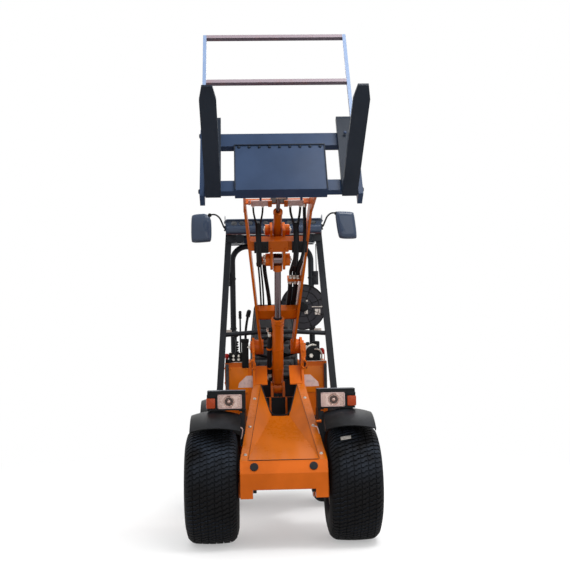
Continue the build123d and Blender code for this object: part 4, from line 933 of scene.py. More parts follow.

# %% [markdown]
# ## Front frame details
# The folded cover ends in a rubber edging where it meets the opening for the
# lift cylinder, and a dark seam shows where it lies on the nose box. Behind the
# opening hangs a dark rubber sheet that paints the shade in the opening. Two rings
# on the tower hold the transport chains. The wires of the lamps leave their
# boxes in a loop and go into the frame through a grommet.
# A blank paper ticket lies on the tread of one tyre, bent to its crown.

# %% Edging, seam and apron
trim = Shape()
edge_path = [(-112, -301, 892), (-54, -450, 709.5), (54, -450, 709.5), (112, -301, 892)]
trim.tube(even(bent(edge_path), 9.0), 3.6, 10)
trim.tube([(-196, -903.5, 501), (196, -903.5, 501)], 1.8, 8)
for side in (1, -1):
    trim.tube([(side * 199, -900, 502), (side * 111, -303, 893)], 1.0, 6)
trim.piece("cover_edging", "front_frame", "rubber")
# Painted shade: a dark rubber sheet that fills the opening behind the lift cylinder.
shade_sheet = Shape()
shade_sheet.plate([(-116, 600), (-111, 600), (-111, 799), (-116, 799)], (-144, 144))
shade_sheet.block((-144, 144), (-119, -116), (786, 796), 1.5)
for x in (-120, -66, 66, 120):
    shade_sheet.bolt((x, -119, 791), (0, -1, 0), 6)
shade_sheet.piece("hinge_shade_sheet", "front_frame", "rubber")
cheeks = Shape()
for side in (1, -1):
    cheeks.plate([(-131, 628), (-117, 628), (-117, 798), (-131, 786)], across(side, 45, 57))
cheeks.piece("foot_cheeks", "front_frame", "orange_paint")
flaps = Shape()
for side in (1, -1):
    flaps.plate([(-704, 560), (-700, 560), (-700, 752), (-704, 752)], across(side, 214, 243))
flaps.piece("fender_flaps", "front_frame", "rubber")
stops = Shape()
for side in (1, -1):
    stops.block(across(side, 154, 174.5), (-934, -884), (323, 341.5), 3)
    stops.bolt((side * 164, -934, 333), (0, -1, 0), 4)
stops.piece("foot_stops", "front_frame", "rubber")

# %% Rings, peg and wires
RING_X = 162
rings = Shape()
for side in (1, -1):
    rings.tube(ring_path((side * RING_X, -250, 1012), (17, 0, 0), (0, -4, 25), 24), 5, 10, closed=True)
    rings.turned([(9, -9), (10, -6), (10, 6), (9, 9)], (side * RING_X, -249, 1038), (1, 0, 0), 18)
    rings.bolt((side * 153, -232, 1062), (0, -0.87, 0.49), 7)
    rings.bolt((side * 153, -216, 1090), (0, -0.87, 0.49), 7)
for x, z in (((146, 172), (1022, 1060)), ((144, 176), (1056, 1146))):
    rings.block(x, (-246, -239), z, 3)
rings.turned([(7, 0), (7, 4), (5, 6), (0, 6)], (160, -246, 1096), (0, -1, 0), 20)
rings.tube([(200, -706, 693), (226, -708, 694)], 7, 16)
rings.turned([(9, 0), (9, 5), (7, 8), (0, 8)], (222, -708, 694), (1, 0, 0), 20)
rings.piece("tower_rings", "front_frame", "orange_paint")
wires = Shape()
for run in ([(186, -712, 665), (203, -712, 664), (212, -712, 639), (223, -712, 597)],
            [(-262, -690, 678), (-246, -708, 670), (-228, -712, 662), (-230, -712, 632),
             (-238, -708, 600)]):
    wires.tube(even(bent(run), 5.0), 3.4, 10)
wires.piece("lamp_wires", "front_frame", "pale_sheet_and_glare", "zinc_steel")
# The lids carry the lamp boxes' painted highlight of sky light on top.
lips = Shape()
for side in (1, -1):
    lips.block(across(side, 208, 430), (-702.5, -600), (876.5, 879.5), 1.2)
    for x in (216, 424):
        for z in (772, 870):
            lips.turned([(4, 0), (4, 1.2), (2.4, 2.2), (0, 2.2)], (side * x, -700, z), (0, -1, 0), 14)
lips.piece("lamp_box_lids", "front_frame", "sky_lit_plastic", "black_plastic")

# %% Blank paper ticket on the tread
ticket = Shape()
corners = []
for share in range(7):
    turn = math.radians(30.5 + share * 0.85)
    for x in (328, 388):
        lean = (x - 358) * -0.0007
        radius = 332.2 if abs(x - 358) < 40 else 331
        corners.append(ticket.mesh.verts.new((x, -650 - radius * math.sin(turn + lean),
                                              330 + radius * math.cos(turn + lean))))
for share in range(6):
    at = share * 2
    ticket.mesh.faces.new((corners[at], corners[at + 1], corners[at + 3], corners[at + 2]))
ticket.keep(corners)
paper = ticket.piece("tread_ticket", "front_left_wheel", "label", "zinc_steel")
paper.modifiers.new("paper", "SOLIDIFY").thickness = 0.0008

# %% [markdown]
# ## The driver's place
# Two consoles stand beside the seat. The right one carries a hydraulic valve
# block of three bolted sections with a joystick and a tall lever; the left one
# carries a filter and a switch box. The steering wheel has finger grooves and a
# cap, and a rubber boot closes the gap at the foot of its column.
# Trays, strips and bolted panels finish the consoles, and a bare orange triangle
# stands at the left one.

# %% Valve block and levers
block_parts = Shape()
for section in range(3):
    y = 248 + section * 28
    block_parts.block((-316, -224), (y, y + 26), (1017, 1079), 3)
    for x in (-304, -236):
        block_parts.bolt((x, y + 13, 1079), (0, 0, 1), 7)
    block_parts.turned([(9, 0), (9, 8), (6, 10), (6, 15), (0, 15)], (-316, y + 13, 1052), (-1, 0, 0), 6)
for z in (1036, 1060):
    block_parts.turned([(11, 0), (11, 7), (8, 9), (8, 14), (0, 14)], (-252, 248, z), (0, -1, 0), 6)
    block_parts.turned([(11, 0), (11, 7), (8, 9), (8, 14), (0, 14)], (-288, 248, z), (0, -1, 0), 6)
block_parts.piece("valve_sections", "rear_frame", "zinc_steel")
dark = Shape()
dark.block((-312, -230), (241, 247.5), (1019, 1042), 2)
for section in range(4):
    y = 247.5 + section * 28
    dark.block((-317.5, -222.5), (y - 1.5, y + 1.5), (1017, 1081), 0.5)
for x in (-296, -262):
    dark.turned([(13, 0), (13, 4), (9, 6), (9, 9), (0, 9)], (x, 247, 1062), (0, -1, 0), 6)
for height, radius in ((1079, 13), (1096, 10), (1112, 12), (1130, 9), (1146, 11)):
    dark.turned([(radius - 3, 0), (radius, 3), (radius, 11), (radius - 3, 14)], (-262, 274, height),
                (0, 0, 1), 20)
dark.piece("valve_seals", "rear_frame", "black_plastic")
boots = Shape()
folds = [(26, 0)]
for fold in range(5):
    folds += [(26 - fold * 3.2, 6 + fold * 7), (20 - fold * 2.6, 9.5 + fold * 7)]
boots.turned(folds + [(8, 46), (0, 47)], (-270, 360, 1016), (0, 0, 1), 28)
boots.turned([(10, 0), (11, 8), (9.6, 16), (11, 26), (9.6, 36), (11, 44), (9, 52), (0, 55)],
             (-238, 285, 1313), (0, 0, 1), 20)
boots.turned([(r + 1.0, h) for r, h in ((13, -21), (21.4, -8), (22.2, 0), (20.5, 10), (13, 19), (0, 22.4))],
             (-270, 360, 1210), (0, 0, 1), 28)
boots.piece("lever_boots", "rear_frame", "rubber")
reds = Shape()
for place in ((-330, 262, 1016), (-336, 300, 1016)):
    reds.turned([(7, 0), (7, 30), (13, 34), (15, 44), (13, 54), (7, 60), (0, 61)], place, (0, 0, 1), 20)
reds.turned([(14, 0), (15, 6), (15, 34), (11, 42), (0, 44)], (318, 292, 1060), (0, 0, 1), 24)
reds.piece("red_knobs", "rear_frame", "red_plastic", "red_lens")

# %% Filter and switch box
filter_parts = Shape()
filter_parts.turned([(34, 0), (40, 6), (40, 52), (36, 60), (30, 66), (12, 70), (12, 78), (0, 80)],
                    (222, 300, 1066), (0, 0, 1), 36)
filter_parts.block((186, 304), (252, 262), (1018, 1100), 4)
filter_parts.turned([(26, 0), (28, 6), (28, 26), (22, 32), (0, 33)], (276, 300, 1119), (0, 0, 1), 30)
for x in (200, 290):
    filter_parts.turned([(7, 0), (7, 5), (5, 7), (0, 7)], (x, 252, 1086), (0, -1, 0), 18)
filter_parts.piece("filter_housing", "rear_frame", "black_plastic")
pipes = Shape()
pipes.tube(even(bent([(196, 262, 1018), (190, 240, 1060), (206, 232, 1112), (250, 240, 1128),
                      (276, 268, 1122)]), 6), 7, 12)
pipes.tube(even(bent([(310, 262, 1018), (316, 248, 1058), (300, 240, 1094), (262, 250, 1096)]), 6), 6, 12)
pipes.turned([(16, 0), (16, 10), (12, 13), (12, 22), (0, 22)], (240, 246, 1052), (0, -1, 0), 6)
pipes.piece("filter_pipes", "rear_frame", "zinc_steel")
sheet = Shape()
sheet.block((212, 343), (238, 300), (1015.5, 1019), 1)
sheet.block((-343, -212), (238, 246), (1015.5, 1019), 1)
sheet.piece("console_trays", "rear_frame", "label", "zinc_steel")
sign = Shape()
sign.plate([(262, 1016), (314, 1016), (288, 1092)], (333, 336))
sign.piece("orange_flag", "rear_frame", "orange_paint")
strips = Shape()
for x, top in ((-331, 1006), (334, 1000)):
    strips.block((x - 10, x + 10), (227, 234.5), (790, top), 2)
    for z in (830, 900, 970):
        strips.bolt((x, 227, z), (0, -1, 0), 5)
strips.piece("console_strips", "rear_frame", "cast_block")
seams = Shape()
for side in (1, -1):
    seams.block(across(side, 190, 318 if side < 0 else 316), (231, 234.6), (806, 984), 1.5)
    for x in (200, 306):
        for z in (816, 974):
            seams.bolt((side * x, 231, z), (0, -1, 0), 5)
seams.piece("console_panels", "rear_frame", "lit_panel_paint", "orange_paint")

# %% Steering wheel grip and boot
wheel_way = Vector((0, math.sin(math.radians(25)), math.cos(math.radians(25))))
hub = Vector((0, 350, 1085)) + wheel_way * 34
turned_to = wheel_way.to_track_quat("Z", "Y").to_matrix()
grip = Shape()
circle = [hub + turned_to @ Vector((165 * math.cos(turn), 165 * math.sin(turn), 0))
          for turn in (2 * math.pi * step / 108 for step in range(108))]
grip.tube(circle, 13.4, 14, closed=True, ripple=0.045, pitch=2)
grip.turned([(40, 9), (41, 12), (39, 17), (26, 21), (0, 22)], hub, wheel_way, 36)
grip.turned([(46, 0), (46, 8), (40, 12), (41, 22), (35, 26), (36, 36), (30, 40)], (0, 303.5, 654),
            (0, 0.115, 0.993), 30)
grip.turned([(9, 0), (9, 20), (15, 26), (19, 36), (19, 46), (13, 55), (0, 58)],
            hub + turned_to @ Vector((-117, -117, 10)), wheel_way, 24)
grip.piece("steering_grip", "rear_frame", "rubber")

# %% [markdown]
# ## Mirrors
# A mirror is a dished plastic shell with the glass set in its open side, on a
# bent tube clamped to the roof. Each shell is a row of rings, all with the same
# rounded outline but smaller and smaller, joined face by face. A cube with cut
# edges would look much the same from straight ahead, but its back would be flat.

# %% Mirrors
def rounded_outline(points, rounds=2):
    """The outline with its corners cut again and again, which rounds them."""
    points = [Vector(point) for point in points]
    for _ in range(rounds):
        cut = []
        for point, after in zip(points, points[1:] + points[:1]):
            cut += [point.lerp(after, 0.25), point.lerp(after, 0.75)]
        points = cut
    return points


def dish(shape, outline, rings):
    """Closed shell of one outline (x, z) at several (scale, y)."""
    middle = sum(outline, Vector((0, 0))) / len(outline)
    rows = []
    for scale, y in rings:
        spots = [middle + (point - middle) * scale for point in outline]
        rows.append([shape.mesh.verts.new((spot.x, y, spot.y)) for spot in spots])
    for low, high in zip(rows, rows[1:]):
        for index in range(len(outline)):
            after = (index + 1) % len(outline)
            shape.mesh.faces.new((low[index], low[after], high[after], high[index]))
    shape.mesh.faces.new(rows[0])
    shape.mesh.faces.new(rows[-1])
    shape.keep([corner for row in rows for corner in row])


mirror_forms = {
    -1: [(-556, 1996), (-544, 2022), (-422, 2027), (-419, 1891), (-424, 1836), (-440, 1832), (-548, 1826),
         (-558, 1845)],
    1: [(416, 2022), (428, 2029), (536, 2024), (548, 2009), (565, 1850), (553, 1838), (450, 1840),
        (436, 1862)],
}
shells, glasses, arms = Shape(), Shape(), Shape()
for side, points in mirror_forms.items():
    outline = rounded_outline(points)
    dish(shells, outline, [(0.95, 183), (1.0, 181), (1.0, 170), (0.97, 160), (0.88, 152), (0.66, 148)])
    dish(glasses, outline, [(0.92, 182.8), (0.92, 184.2), (0.90, 184.6)])
    top = (424, 2016) if side > 0 else (428, 2016)
    path = [(side * top[0], 168, top[1]), (side * 392, 168, 2018), (side * 364, 170, 1996),
            (side * 348, 176, 1960),
            (side * 337, 188, 1932), (side * 330, 200, 1926), (side * 322, 205, 1926)]
    arms.tube(even(bent(path), 6.0), 5.5, 14)
    arms.block(across(side, 321, 333), (184, 226), (1908, 1944), 2)
    for z in (1914, 1938):
        arms.bolt((side * 333, 214, z), (side, 0, 0), 5)
    arms.turned([(11, 0), (13, 4), (13, 16), (10, 20)], (side * (top[0] + 2), 158, top[1] - 3), (0, 1, 0),
                18)
mirror_shells = shells.piece("mirror_shells", "rear_frame", "roof_paint", "black_paint", 40)
glasses.piece("mirror_glass", "rear_frame", "reflector", "rod_chrome")
mirror_arms = arms.piece("mirror_arms", "rear_frame", "black_plastic")
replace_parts(mirror_shells, "mirrors")
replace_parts(mirror_arms, "mirrors")

# %% [markdown]
# ## Roof and frame details
# The roof's front edge is rolled over, so it catches light from above and fades
# towards its drip edge. Upright fins close its ends, and brackets join the hoop
# behind the seat to the posts. Blank labels sit where a maker would put words.
# The round cover on the hoop has a rolled rim, two rings and eight pressed ribs.

# %% Rolled front edge, fins and brackets
brow = Shape()
section = [(180, 1940), (174, 1938), (168.5, 1928), (167, 1914), (168.5, 1900), (173, 1889), (180, 1884)]
brow.plate(section + [(180, 1900), (180, 1920)], (-318, 318))
brow.plate([(180, 1986), (173, 1985), (169, 1979), (173, 1974), (180, 1973)], (-320, 320))
for side in (1, -1):
    fin = [(176, 1960), (176, 2003), (190, 2011), (240, 2004), (300, 1982), (300, 1960)]
    brow.plate(fin, across(side, 326, 330.5))
    for y in (196, 270):
        brow.bolt((side * 330.5, y, 1968), (side, 0, 0), 6)
brow.piece("roof_brow", "rear_frame", "roof_paint", "black_paint", 50)
drip = Shape()
drip.block((-322, 322), (170, 176), (1880, 1884.5), 1)
drip.turned([(5, 0), (5, 3), (3.5, 4.5), (0, 4.5)], (-300, 172, 1882), (0, -1, 0), 14)
drip.piece("roof_drip_edge", "rear_frame", "drip_brown", "black_paint")
brackets = Shape()
for side in (1, -1):
    brackets.block(across(side, 306, 345), (836, 878), (1566, 1668), 4)
    for z in (1590, 1640):
        brackets.bolt((side * 326, 836, z), (0, -1, 0), 7)
    brackets.block(across(side, 204, 318), (186, 200), (1828, 1878), 3)
    for z in (1250, 1620):
        brackets.turned([(24, -7), (25, -5), (25, 5), (24, 7)], (side * 292, 860, z), (0, 0, 1), 26)
for x in (232, -232):
    brackets.turned([(30, 0), (31, 3), (31, 16), (28, 19), (0, 19)], (x, 186, 1850), (0, -1, 0), 26)
brackets.tube([(332, 857, 1664), (331, 857, 1872)], 3, 10)
brackets.piece("hoop_brackets", "rear_frame", "black_paint")
tags = Shape()
for side in (1, -1):
    tags.block(across(side, 306, 360), (838, 842), (1212, 1242), 1)
for x, z in (((234, 257), (1347, 1378)), ((310, 350), (1342, 1384)), ((245, 259), (1439, 1451))):
    tags.block(x, (780.4, 782.2), z, 0.4)
tags.block((288, 388), (779.5, 782.4), (1396, 1403), 1)
tags.piece("blank_tags", "rear_frame", "label", "zinc_steel")
cover = Shape()
DISC_X, DISC_Z = 224, 1400
for radius, y, thick, count, sides in ((164, 781, 4.5, 72, 10), (118, 782.5, 3, 60, 8),
                                       (70, 782.5, 3, 60, 8)):
    ring = ring_path((DISC_X, y, DISC_Z), (radius, 0, 0), (0, 0, radius), count)
    cover.tube(ring, thick, sides, closed=True)
for step in range(8):
    turn = math.pi * (step + 0.5) / 4
    way = Vector((math.cos(turn), 0, math.sin(turn)))
    middle = Vector((DISC_X, 782.5, DISC_Z))
    cover.tube([middle + way * 40, middle + way * 160], 3, 8)
    cover.bolt(Vector((DISC_X, 780.5, DISC_Z)) + way * 146, (0, -1, 0), 6)
cover.turned([(34, 0), (36, 3), (36, 9), (30, 14), (12, 16), (0, 16)], (DISC_X, 783, DISC_Z), (0, -1, 0),
             32)
cover.piece("cover_ribs", "rear_frame", "black_plastic")

# %% [markdown]
# ## Blocks on the boom and its cylinders
# Two dark plates under the boom press the hose lines against its cross box, and
# the lift rod ends in a forged eye round its pin. The eye could be two crossed
# cylinders, but a turned ring with cut edges and a tapering neck shows how it is
# forged. It rides on the rod and not on the boom, so it slides with the rod.

# %% Hose plates and rod eye
plates = Shape(BOOM)
for low, high in ((-142, -57), (82, 172)):
    plates.block((low, high), (788, 864), (-96, -86), 3)
    for x in (low + 14, high - 14):
        plates.bolt((x, 826, -96), (0, 0, -1), 7)
plates.piece("hose_plates", "boom", "black_plastic")
eye = Shape()
eye.turned([(31, -27), (36.5, -27), (37.5, -24), (37.5, 24), (36.5, 27), (31, 27)], lift_eye, (1, 0, 0), 40,
           ring_shaped=True)
eye.turned([(27.5, -72), (27.5, -34), (24, -30), (20.5, -30)], lift_eye, lift_way, 32)
eye.piece("rod_eye", "lift_rod", "orange_paint")

# %% [markdown]
# ## Carriage details
# The carriage is cut from plate: round studs hold its front sheet, thin strips lie on its
# sides, and beads join the side plates to the cross bars. A dark strip across the top of the
# sheet, under the top bar, is painted shade; studs and strips share its darker paint. Studs in
# a row differ only in their place, so a loop makes them. The fork hooks get a pad and
# one bolt each. All of it rides on the tool, so it tilts with the forks.

# %% Studs, beads and fork hooks
studs_and_shade_band = Shape(TOOL)
for step in range(9):
    x = -220 + step * 55
    studs_and_shade_band.turned([(9, 0), (9, 1.5), (6.5, 5), (3, 6.4), (0, 6.6)], (x, -10, 338), (0, -1, 0), 18)
# Painted shade: a dark band across the top of the sheet, under the top bar.
studs_and_shade_band.block((-247, 247), (-16, -10), (349, 355), 1.5)
for side in (1, -1):
    studs_and_shade_band.block(across(side, 240, 247), (-15, -10), (44, 350), 1.5)
    for z in (30, 420):
        studs_and_shade_band.turned([(13, 0), (13, 5), (9, 8), (0, 8)], (side * 428, 10, z + 20), (side, 0, 0), 6)
studs_and_shade_band.piece("carriage_studs_and_shade_band", "tool", "fork_paint", "slate_paint")
seams_tool = Shape(TOOL)
for side in (1, -1):
    for z in (42, 114, 355, 445):
        seams_tool.weld((side * 401, 2, z), (side * 401, 38, z), 3.5)
    for low, high in ((42, 114), (355, 445)):
        seams_tool.weld((side * 402, 0, low), (side * 402, 0, high), 3.5)
    for z in (56, 400):
        seams_tool.block(across(side, 320, 394), (-12, -4), (z - 12, z + 12), 2)
        seams_tool.bolt((side * 357, -50.5, z), (0, -1, 0), 8)
seams_tool.piece("carriage_welds", "tool", "slate_paint")

# %% [markdown]
# ## Rear: hood, grille, weight and lamps
# The hood has two rubber latches, a row of louvres, a filler cap and an exhaust
# with a cut-off end. The tail lamps are clear-cut lenses on the weight, and the
# towing clevis holds its pin with a ring handle.
# The consoles' lids have hinges and cord pulls.

# %% Hood fittings
latches = Shape()
for side in (1, -1):
    x = side * 207
    latches.block(across(side, 205, 209), (880, 940), (668, 716), 2)
    latches.tube(even(bent([(side * 212, 890, 690), (side * 216, 906, 700), (side * 216, 924, 680),
                            (side * 212, 934, 688)]), 4), 5, 10)
    for row in range(7):
        z = 760 + row * 22
        latches.plate([(900, z), (1080, z), (1080, z + 5), (900, z + 12)], across(side, 205, 211))
latches.piece("hood_louvres", "engine_hood", "rubber")
stack = Shape()
stack.turned([(24, -2), (26, 0), (26, 4), (22, 6), (22, 46), (24.5, 48), (24.5, 54), (18, 54), (18, 20),
              (0, 20)],
             (-120, 1010, 1019), (0, 0, 1), 32)
stack.piece("exhaust_stub", "engine_hood", "dark_steel", "cast_block")
cap = Shape()
rim = [(32, 0), (32, 4), (28, 6), (28, 20), (24, 24), (8, 26), (0, 26)]
cap.turned(rim, (120, 900, 1019), (0, 0, 1), 36)
for step in range(12):
    turn = math.pi * step / 6
    cap.block((120 + 27 * math.cos(turn) - 2.5, 120 + 27 * math.cos(turn) + 2.5),
              (900 + 27 * math.sin(turn) - 2.5, 900 + 27 * math.sin(turn) + 2.5), (1025, 1040), 1)
cap.piece("filler_cap", "engine_hood", "black_plastic")
grill = Shape()
grill.block((-158, 158), (1199, 1206), (712, 721), 2)
grill.block((-158, 158), (1199, 1206), (959, 968), 2)
for side in (1, -1):
    grill.block(across(side, 149, 158), (1199, 1206), (712, 968), 2)
    for z in (724, 956):
        grill.bolt((side * 153, 1206, z), (0, 1, 0), 5)
grill.piece("grille_frame", "engine_hood", "orange_paint")

# %% Tail lamps and hitch
def tail(side):
    shape = Shape()
    shape.block(across(side, 143, 169), (1292, 1303), (553, 587), 4)
    return shape.piece("tail_lens_left" if side > 0 else "tail_lens_right", "rear_frame", "red_lens")


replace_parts(tail(1), "tail_lamps")
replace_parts(tail(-1), "tail_lamps")
for side, word in ((1, "left"), (-1, "right")):
    turn_lens = Shape()
    turn_lens.block(across(side, 171, 197), (1292, 1303), (553, 587), 4)
    turn_lens.piece("tail_indicator_" + word, "rear_frame", "amber_lens")
holders = Shape()
for side in (1, -1):
    holders.block(across(side, 138, 202), (1290, 1296), (547, 593), 3)
    holders.bolt((side * 170, 1296, 594), (0, 1, 0), 4)
holders.piece("tail_holders", "rear_frame", "black_plastic")

hitch = Shape()
hitch_y, hitch_low, hitch_high = 1348, 372, 520
hitch.turned([(9, 0), (13, 6), (13, hitch_high - hitch_low - 6), (9, hitch_high - hitch_low)],
             (0, hitch_y, hitch_low), (0, 0, 1), 24)
handle = ring_path((0, hitch_y, hitch_high + 16), (18, 0, 0), (0, 0, 18), 24)
hitch.tube(handle, 3.5, 10, closed=True)
hitch.piece("hitch_pin", "rear_frame", "zinc_steel")
lids = Shape()
for side in (1, -1):
    lids.block(across(side, 232, 338), (470, 720), (1014.5, 1019), 2)
    lids.block(across(side, 344.5, 348.5), (300, 700), (860, 990), 2)
    for y in (320, 680):
        for z in (876, 974):
            lids.bolt((side * 348.5, y, z), (side, 0, 0), 5)
    for y in (520, 670):
        lids.turned([(6, -14), (6, 14)], (side * 340, y, 1019), (0, 1, 0), 14)
lids.piece("console_lids", "rear_frame", "orange_paint")
pulls = Shape()
for side in (1, -1):
    pulls.tube(even(bent([(side * 258, 560, 1018), (side * 258, 560, 1032), (side * 258, 630, 1032),
                          (side * 258, 630, 1018)]), 4), 4, 10)
pulls.piece("console_pulls", "rear_frame", "rubber")

# %% [markdown]
# ## Seat
# The cushion and the back are foam under vinyl. Each starts as a box with soft
# edges a little smaller than its place, is given an even skin of squares, and
# then blown up as cloth: the middle rises, the corners stay low, and the part
# that rests on the frame is held flat. Piping and sewn channels come last, laid
# on the swollen surface by casting rays at it, because an even skin would have
# swallowed anything so narrow.
# Belt, armrest and document box are plain mouldings beside the seat.

# %% Swollen pads
PAD_RISE, CLOTH_FRAMES = 24, 20
BACK_FOOT, BACK_HEIGHT, BACK_LEAN = 890, 540, 34


def leaned(z):
    """How far the back has leaned to the rear at this height."""
    return BACK_LEAN * (z - BACK_FOOT) / BACK_HEIGHT


def swollen(name, x, y, z, held, lean):
    """Object with the shape of a padded box: held tells which points stay."""
    core = Shape(Matrix.Scale(0.001, 4))
    core.block(x, y, z, 22)
    skin = core.piece(name, "rear_frame", "seat_vinyl", "seat_vinyl", 180)
    even_skin = skin.modifiers.new("even", "REMESH")
    even_skin.mode, even_skin.voxel_size = "VOXEL", 0.006
    graph = bpy.context.evaluated_depsgraph_get()
    data = bpy.data.meshes.new_from_object(skin.evaluated_get(graph))
    skin.modifiers.clear()
    skin.data = data
    for spot in data.vertices:
        spot.co = lean(spot.co * 1000) / 1000
    start = [spot.co.copy() for spot in data.vertices]
    rest = skin.vertex_groups.new(name="rest")
    rest.add([index for index, spot in enumerate(start) if held(spot * 1000)], 1.0, "REPLACE")
    air = skin.modifiers.new("air", "CLOTH")
    air.settings.use_pressure = True
    air.settings.uniform_pressure_force = 4
    air.settings.vertex_group_mass = "rest"
    air.settings.effector_weights.gravity = 0
    for moment in range(1, CLOTH_FRAMES + 1):
        bpy.context.scene.frame_set(moment)
    graph = bpy.context.evaluated_depsgraph_get()
    ended = [spot.co.copy() for spot in skin.evaluated_get(graph).data.vertices]
    skin.modifiers.clear()
    for spot, first, last in zip(data.vertices, start, ended):
        move = last - first
        spot.co = first + move * min(1.0, PAD_RISE / 1000 / max(move.length, 1e-9))
    bpy.context.scene.frame_set(1)
    print(name, "moved up to",
          round(max((a.co - b).length for a, b in zip(data.vertices, start)) * 1000, 1), "mm")
    return skin


def finish_pad(skin, grooves, node):
    """Presses the channels in, then rounds the skin once."""
    for spot in skin.data.vertices:
        spot.co = grooves(spot.co * 1000) / 1000
    for face in skin.data.polygons:
        face.use_smooth = True
    smooth = skin.modifiers.new("round", "SUBSURF")
    smooth.levels = smooth.render_levels = 1
    skin.data.materials.clear()
    skin.data.materials.append(finishes["seat_vinyl"])
    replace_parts(skin, node)
    tree = BVHTree.FromPolygons([spot.co * 1000 for spot in skin.data.vertices],
                                [tuple(face.vertices) for face in skin.data.polygons])
    skin.data.transform(Matrix.Translation((0, hinge_y, 0)))
    return tree


def channel(value, lines, depth, width=13.0):
    return sum(depth * max(0.0, 1 - ((value - line) / width) ** 2) ** 2 for line in lines)


def outline_on(tree, middle, ways, lift=0.6):
    """Where rays from the middle leave the skin, as a path."""
    path = []
    for way in ways:
        hit = tree.ray_cast(middle + way * 400, -way, 400)
        if hit[0] is not None:
            path.append(hit[0] + way * lift)
    return path


turns = [2 * math.pi * step / 90 for step in range(90)]
cushion = swollen("seat_pad", (-172, 172), (446, 634), (892, 962), lambda spot: spot.z < 900,
                  lambda spot: spot)


def press_cushion(spot):
    upper = max(0.0, min(1.0, (spot.z - 930) / 30))
    spot.z -= channel(spot.x, (-62, 62), 7) * upper
    return spot


cushion_skin = finish_pad(cushion, press_cushion, "seat_cushion")


def back_lean(spot):
    """The back grows narrower above its middle and leans to the rear."""
    return Vector((spot.x * (1 - 0.20 * max(0.0, (spot.z - 1130) / 300)), spot.y + leaned(spot.z), spot.z))


rest = swollen("seat_back_pad", (-172, 172), (668, 716), (900, 1420),
               lambda spot: spot.y > 706 + leaned(spot.z), back_lean)


def press_back(spot):
    front = 1.0 if spot.y < 692 + leaned(spot.z) else 0.0
    cross = channel(spot.z, (1020, 1130, 1240, 1340), 7) * (abs(spot.x) < 150)
    spot.y += (cross + channel(abs(spot.x), (118,), 6)) * front
    return spot


back_skin = finish_pad(rest, press_back, "seat_back")

# %% Piping
piping = Shape()
ways = [Vector((math.cos(turn), math.sin(turn), 0)) for turn in turns]
for level in (944, 908):
    piping.tube(outline_on(cushion_skin, Vector((0, 540, level)), ways), 3.0, 8, closed=True)
tilt = math.atan2(BACK_LEAN, BACK_HEIGHT)
for shift in (-12, 14):
    ways = [Vector((math.cos(turn), math.sin(turn) * math.sin(tilt), math.sin(turn) * math.cos(tilt)))
            for turn in turns]
    piping.tube(outline_on(back_skin, Vector((0, 692 + shift + leaned(1160), 1160)), ways), 3.0, 8,
                closed=True)
piping.piece("seat_piping", "rear_frame", "rubber", "rubber", 60)
belt = Shape()
for side in (1, -1):
    belt.block(across(side, 186, 196), (640, 676), (892, 960), 3)
    belt.turned([(11, 0), (11, 4), (7, 6), (0, 6)], (side * 196, 658, 912), (side, 0, 0), 20)
belt.block((178, 192), (612, 640), (950, 1006), 4)
belt.tube(even(bent([(-200, 648, 930), (-206, 632, 1100), (-202, 600, 1240), (-186, 566, 1330),
                     (-172, 552, 1380)]), 8), 9, 14)
belt.turned([(14, 0), (16, 6), (16, 40), (12, 50), (0, 52)], (-186, 566, 1330), (0.25, -0.3, 0.92), 20)
belt.piece("belt_and_armrest", "rear_frame", "black_plastic")
box = Shape()
box.block((-230, -184), (228, 262), (978, 1168), 6)
box.block((-233, -181), (226, 264), (1150, 1176), 4)
box.block((190, 212), (228, 250), (968, 1070), 5)
box.block((-342, -300), (226, 240), (1017, 1040), 3)
box.piece("document_box", "rear_frame", "black_plastic")

# %% [markdown]
# ## Floor, light and background
# A pale floor that turns into plain white a few metres away hides the horizon.
# The world lights the loader softly from all sides, and one broad lamp above
# gives the gentle shadow under it. Camera, glossy and transmission rays see the
# same white, so chrome and glass show the background that the eye sees.

# %% Floor
def seen_by(finish):
    """1 for the rays that show the background, 0 for those that light the loader."""
    names = ("Is Camera Ray", "Is Glossy Ray", "Is Transmission Ray")
    rays = [finish.add("ShaderNodeLightPath", output=name) for name in names]
    return (rays[0] + rays[1] + rays[2]).clamp()


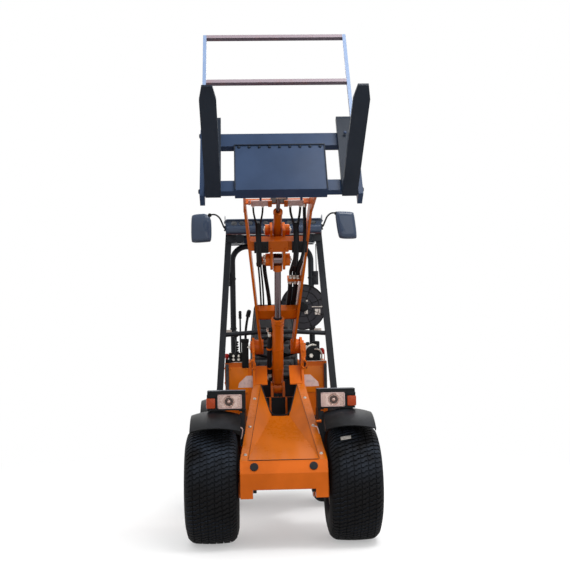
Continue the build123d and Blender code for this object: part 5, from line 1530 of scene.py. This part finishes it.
floor_mesh = bpy.data.meshes.new("floor")
floor_mesh.from_pydata([(-60, -60, 0), (60, -60, 0), (60, 60, 0), (-60, 60, 0)], [], [(0, 1, 2, 3)])
floor = bpy.data.objects.new("floor", floor_mesh)
bpy.context.scene.collection.objects.link(floor)
ground = Finish("pale floor", Roughness=0.9, Specular_IOR_Level=0.0)
seen = seen_by(ground)
ground.set(Base_Color=ground.mix(seen, (0.42, 0.40, 0.38), (0.95, 0.95, 0.95)))
away = ground.add("ShaderNodeVectorMath", {"operation": "LENGTH"}, {0: ground.place()}, "Value")
white = ground.add("ShaderNodeEmission", {}, {"Color": (1.0, 1.0, 1.0), "Strength": seen * 0.7 + 0.3})
share = ground.step(away, 0.9, 4.2) * 0.62 + 0.38
fade = ground.add("ShaderNodeMixShader", {},
                  {0: share, 1: Wire(ground, ground.shader.outputs[0]), 2: white})
ground.tree.links.new(fade.socket, ground.tree.nodes["Material Output"].inputs["Surface"])
floor_mesh.materials.append(ground.material)

# %% World and lamp
world = bpy.data.worlds.new("studio")
bpy.context.scene.world = world
world.use_nodes = True
sky = Finish.of_tree(world.node_tree)
seen = seen_by(sky)
height = sky.part(sky.add("ShaderNodeTexCoord", output="Generated"), 2)
soft = sky.step(height, -0.3, 0.7) * 0.60 + 0.43
background = sky.tree.nodes["Background"]
sky.feed(background.inputs["Color"], (1.0, 1.0, 1.0))
sky.feed(background.inputs["Strength"], seen + (1 - seen) * soft)


def softbox(name, place, size, watts, aim=(0, 0, 1.2)):
    data = bpy.data.lights.new(name, "AREA")
    data.shape, data.size, data.size_y, data.energy = "RECTANGLE", size[0], size[1], watts
    made = bpy.data.objects.new(name, data)
    bpy.context.scene.collection.objects.link(made)
    made.location = place
    made.rotation_euler = (Vector(aim) - Vector(place)).to_track_quat("-Z", "Y").to_euler()
    return made


softbox("key", (2.0, -2.2, 6.6), (3, 2), 210)
softbox("fill", (1.5, -5.5, 2.6), (4, 3), 55, (0, -0.6, 1.2))
softbox("back", (0.5, 5.0, 5.5), (4, 3), 130)
bpy.context.scene.view_settings.view_transform = "Standard"
print("three soft lamps and a white world")
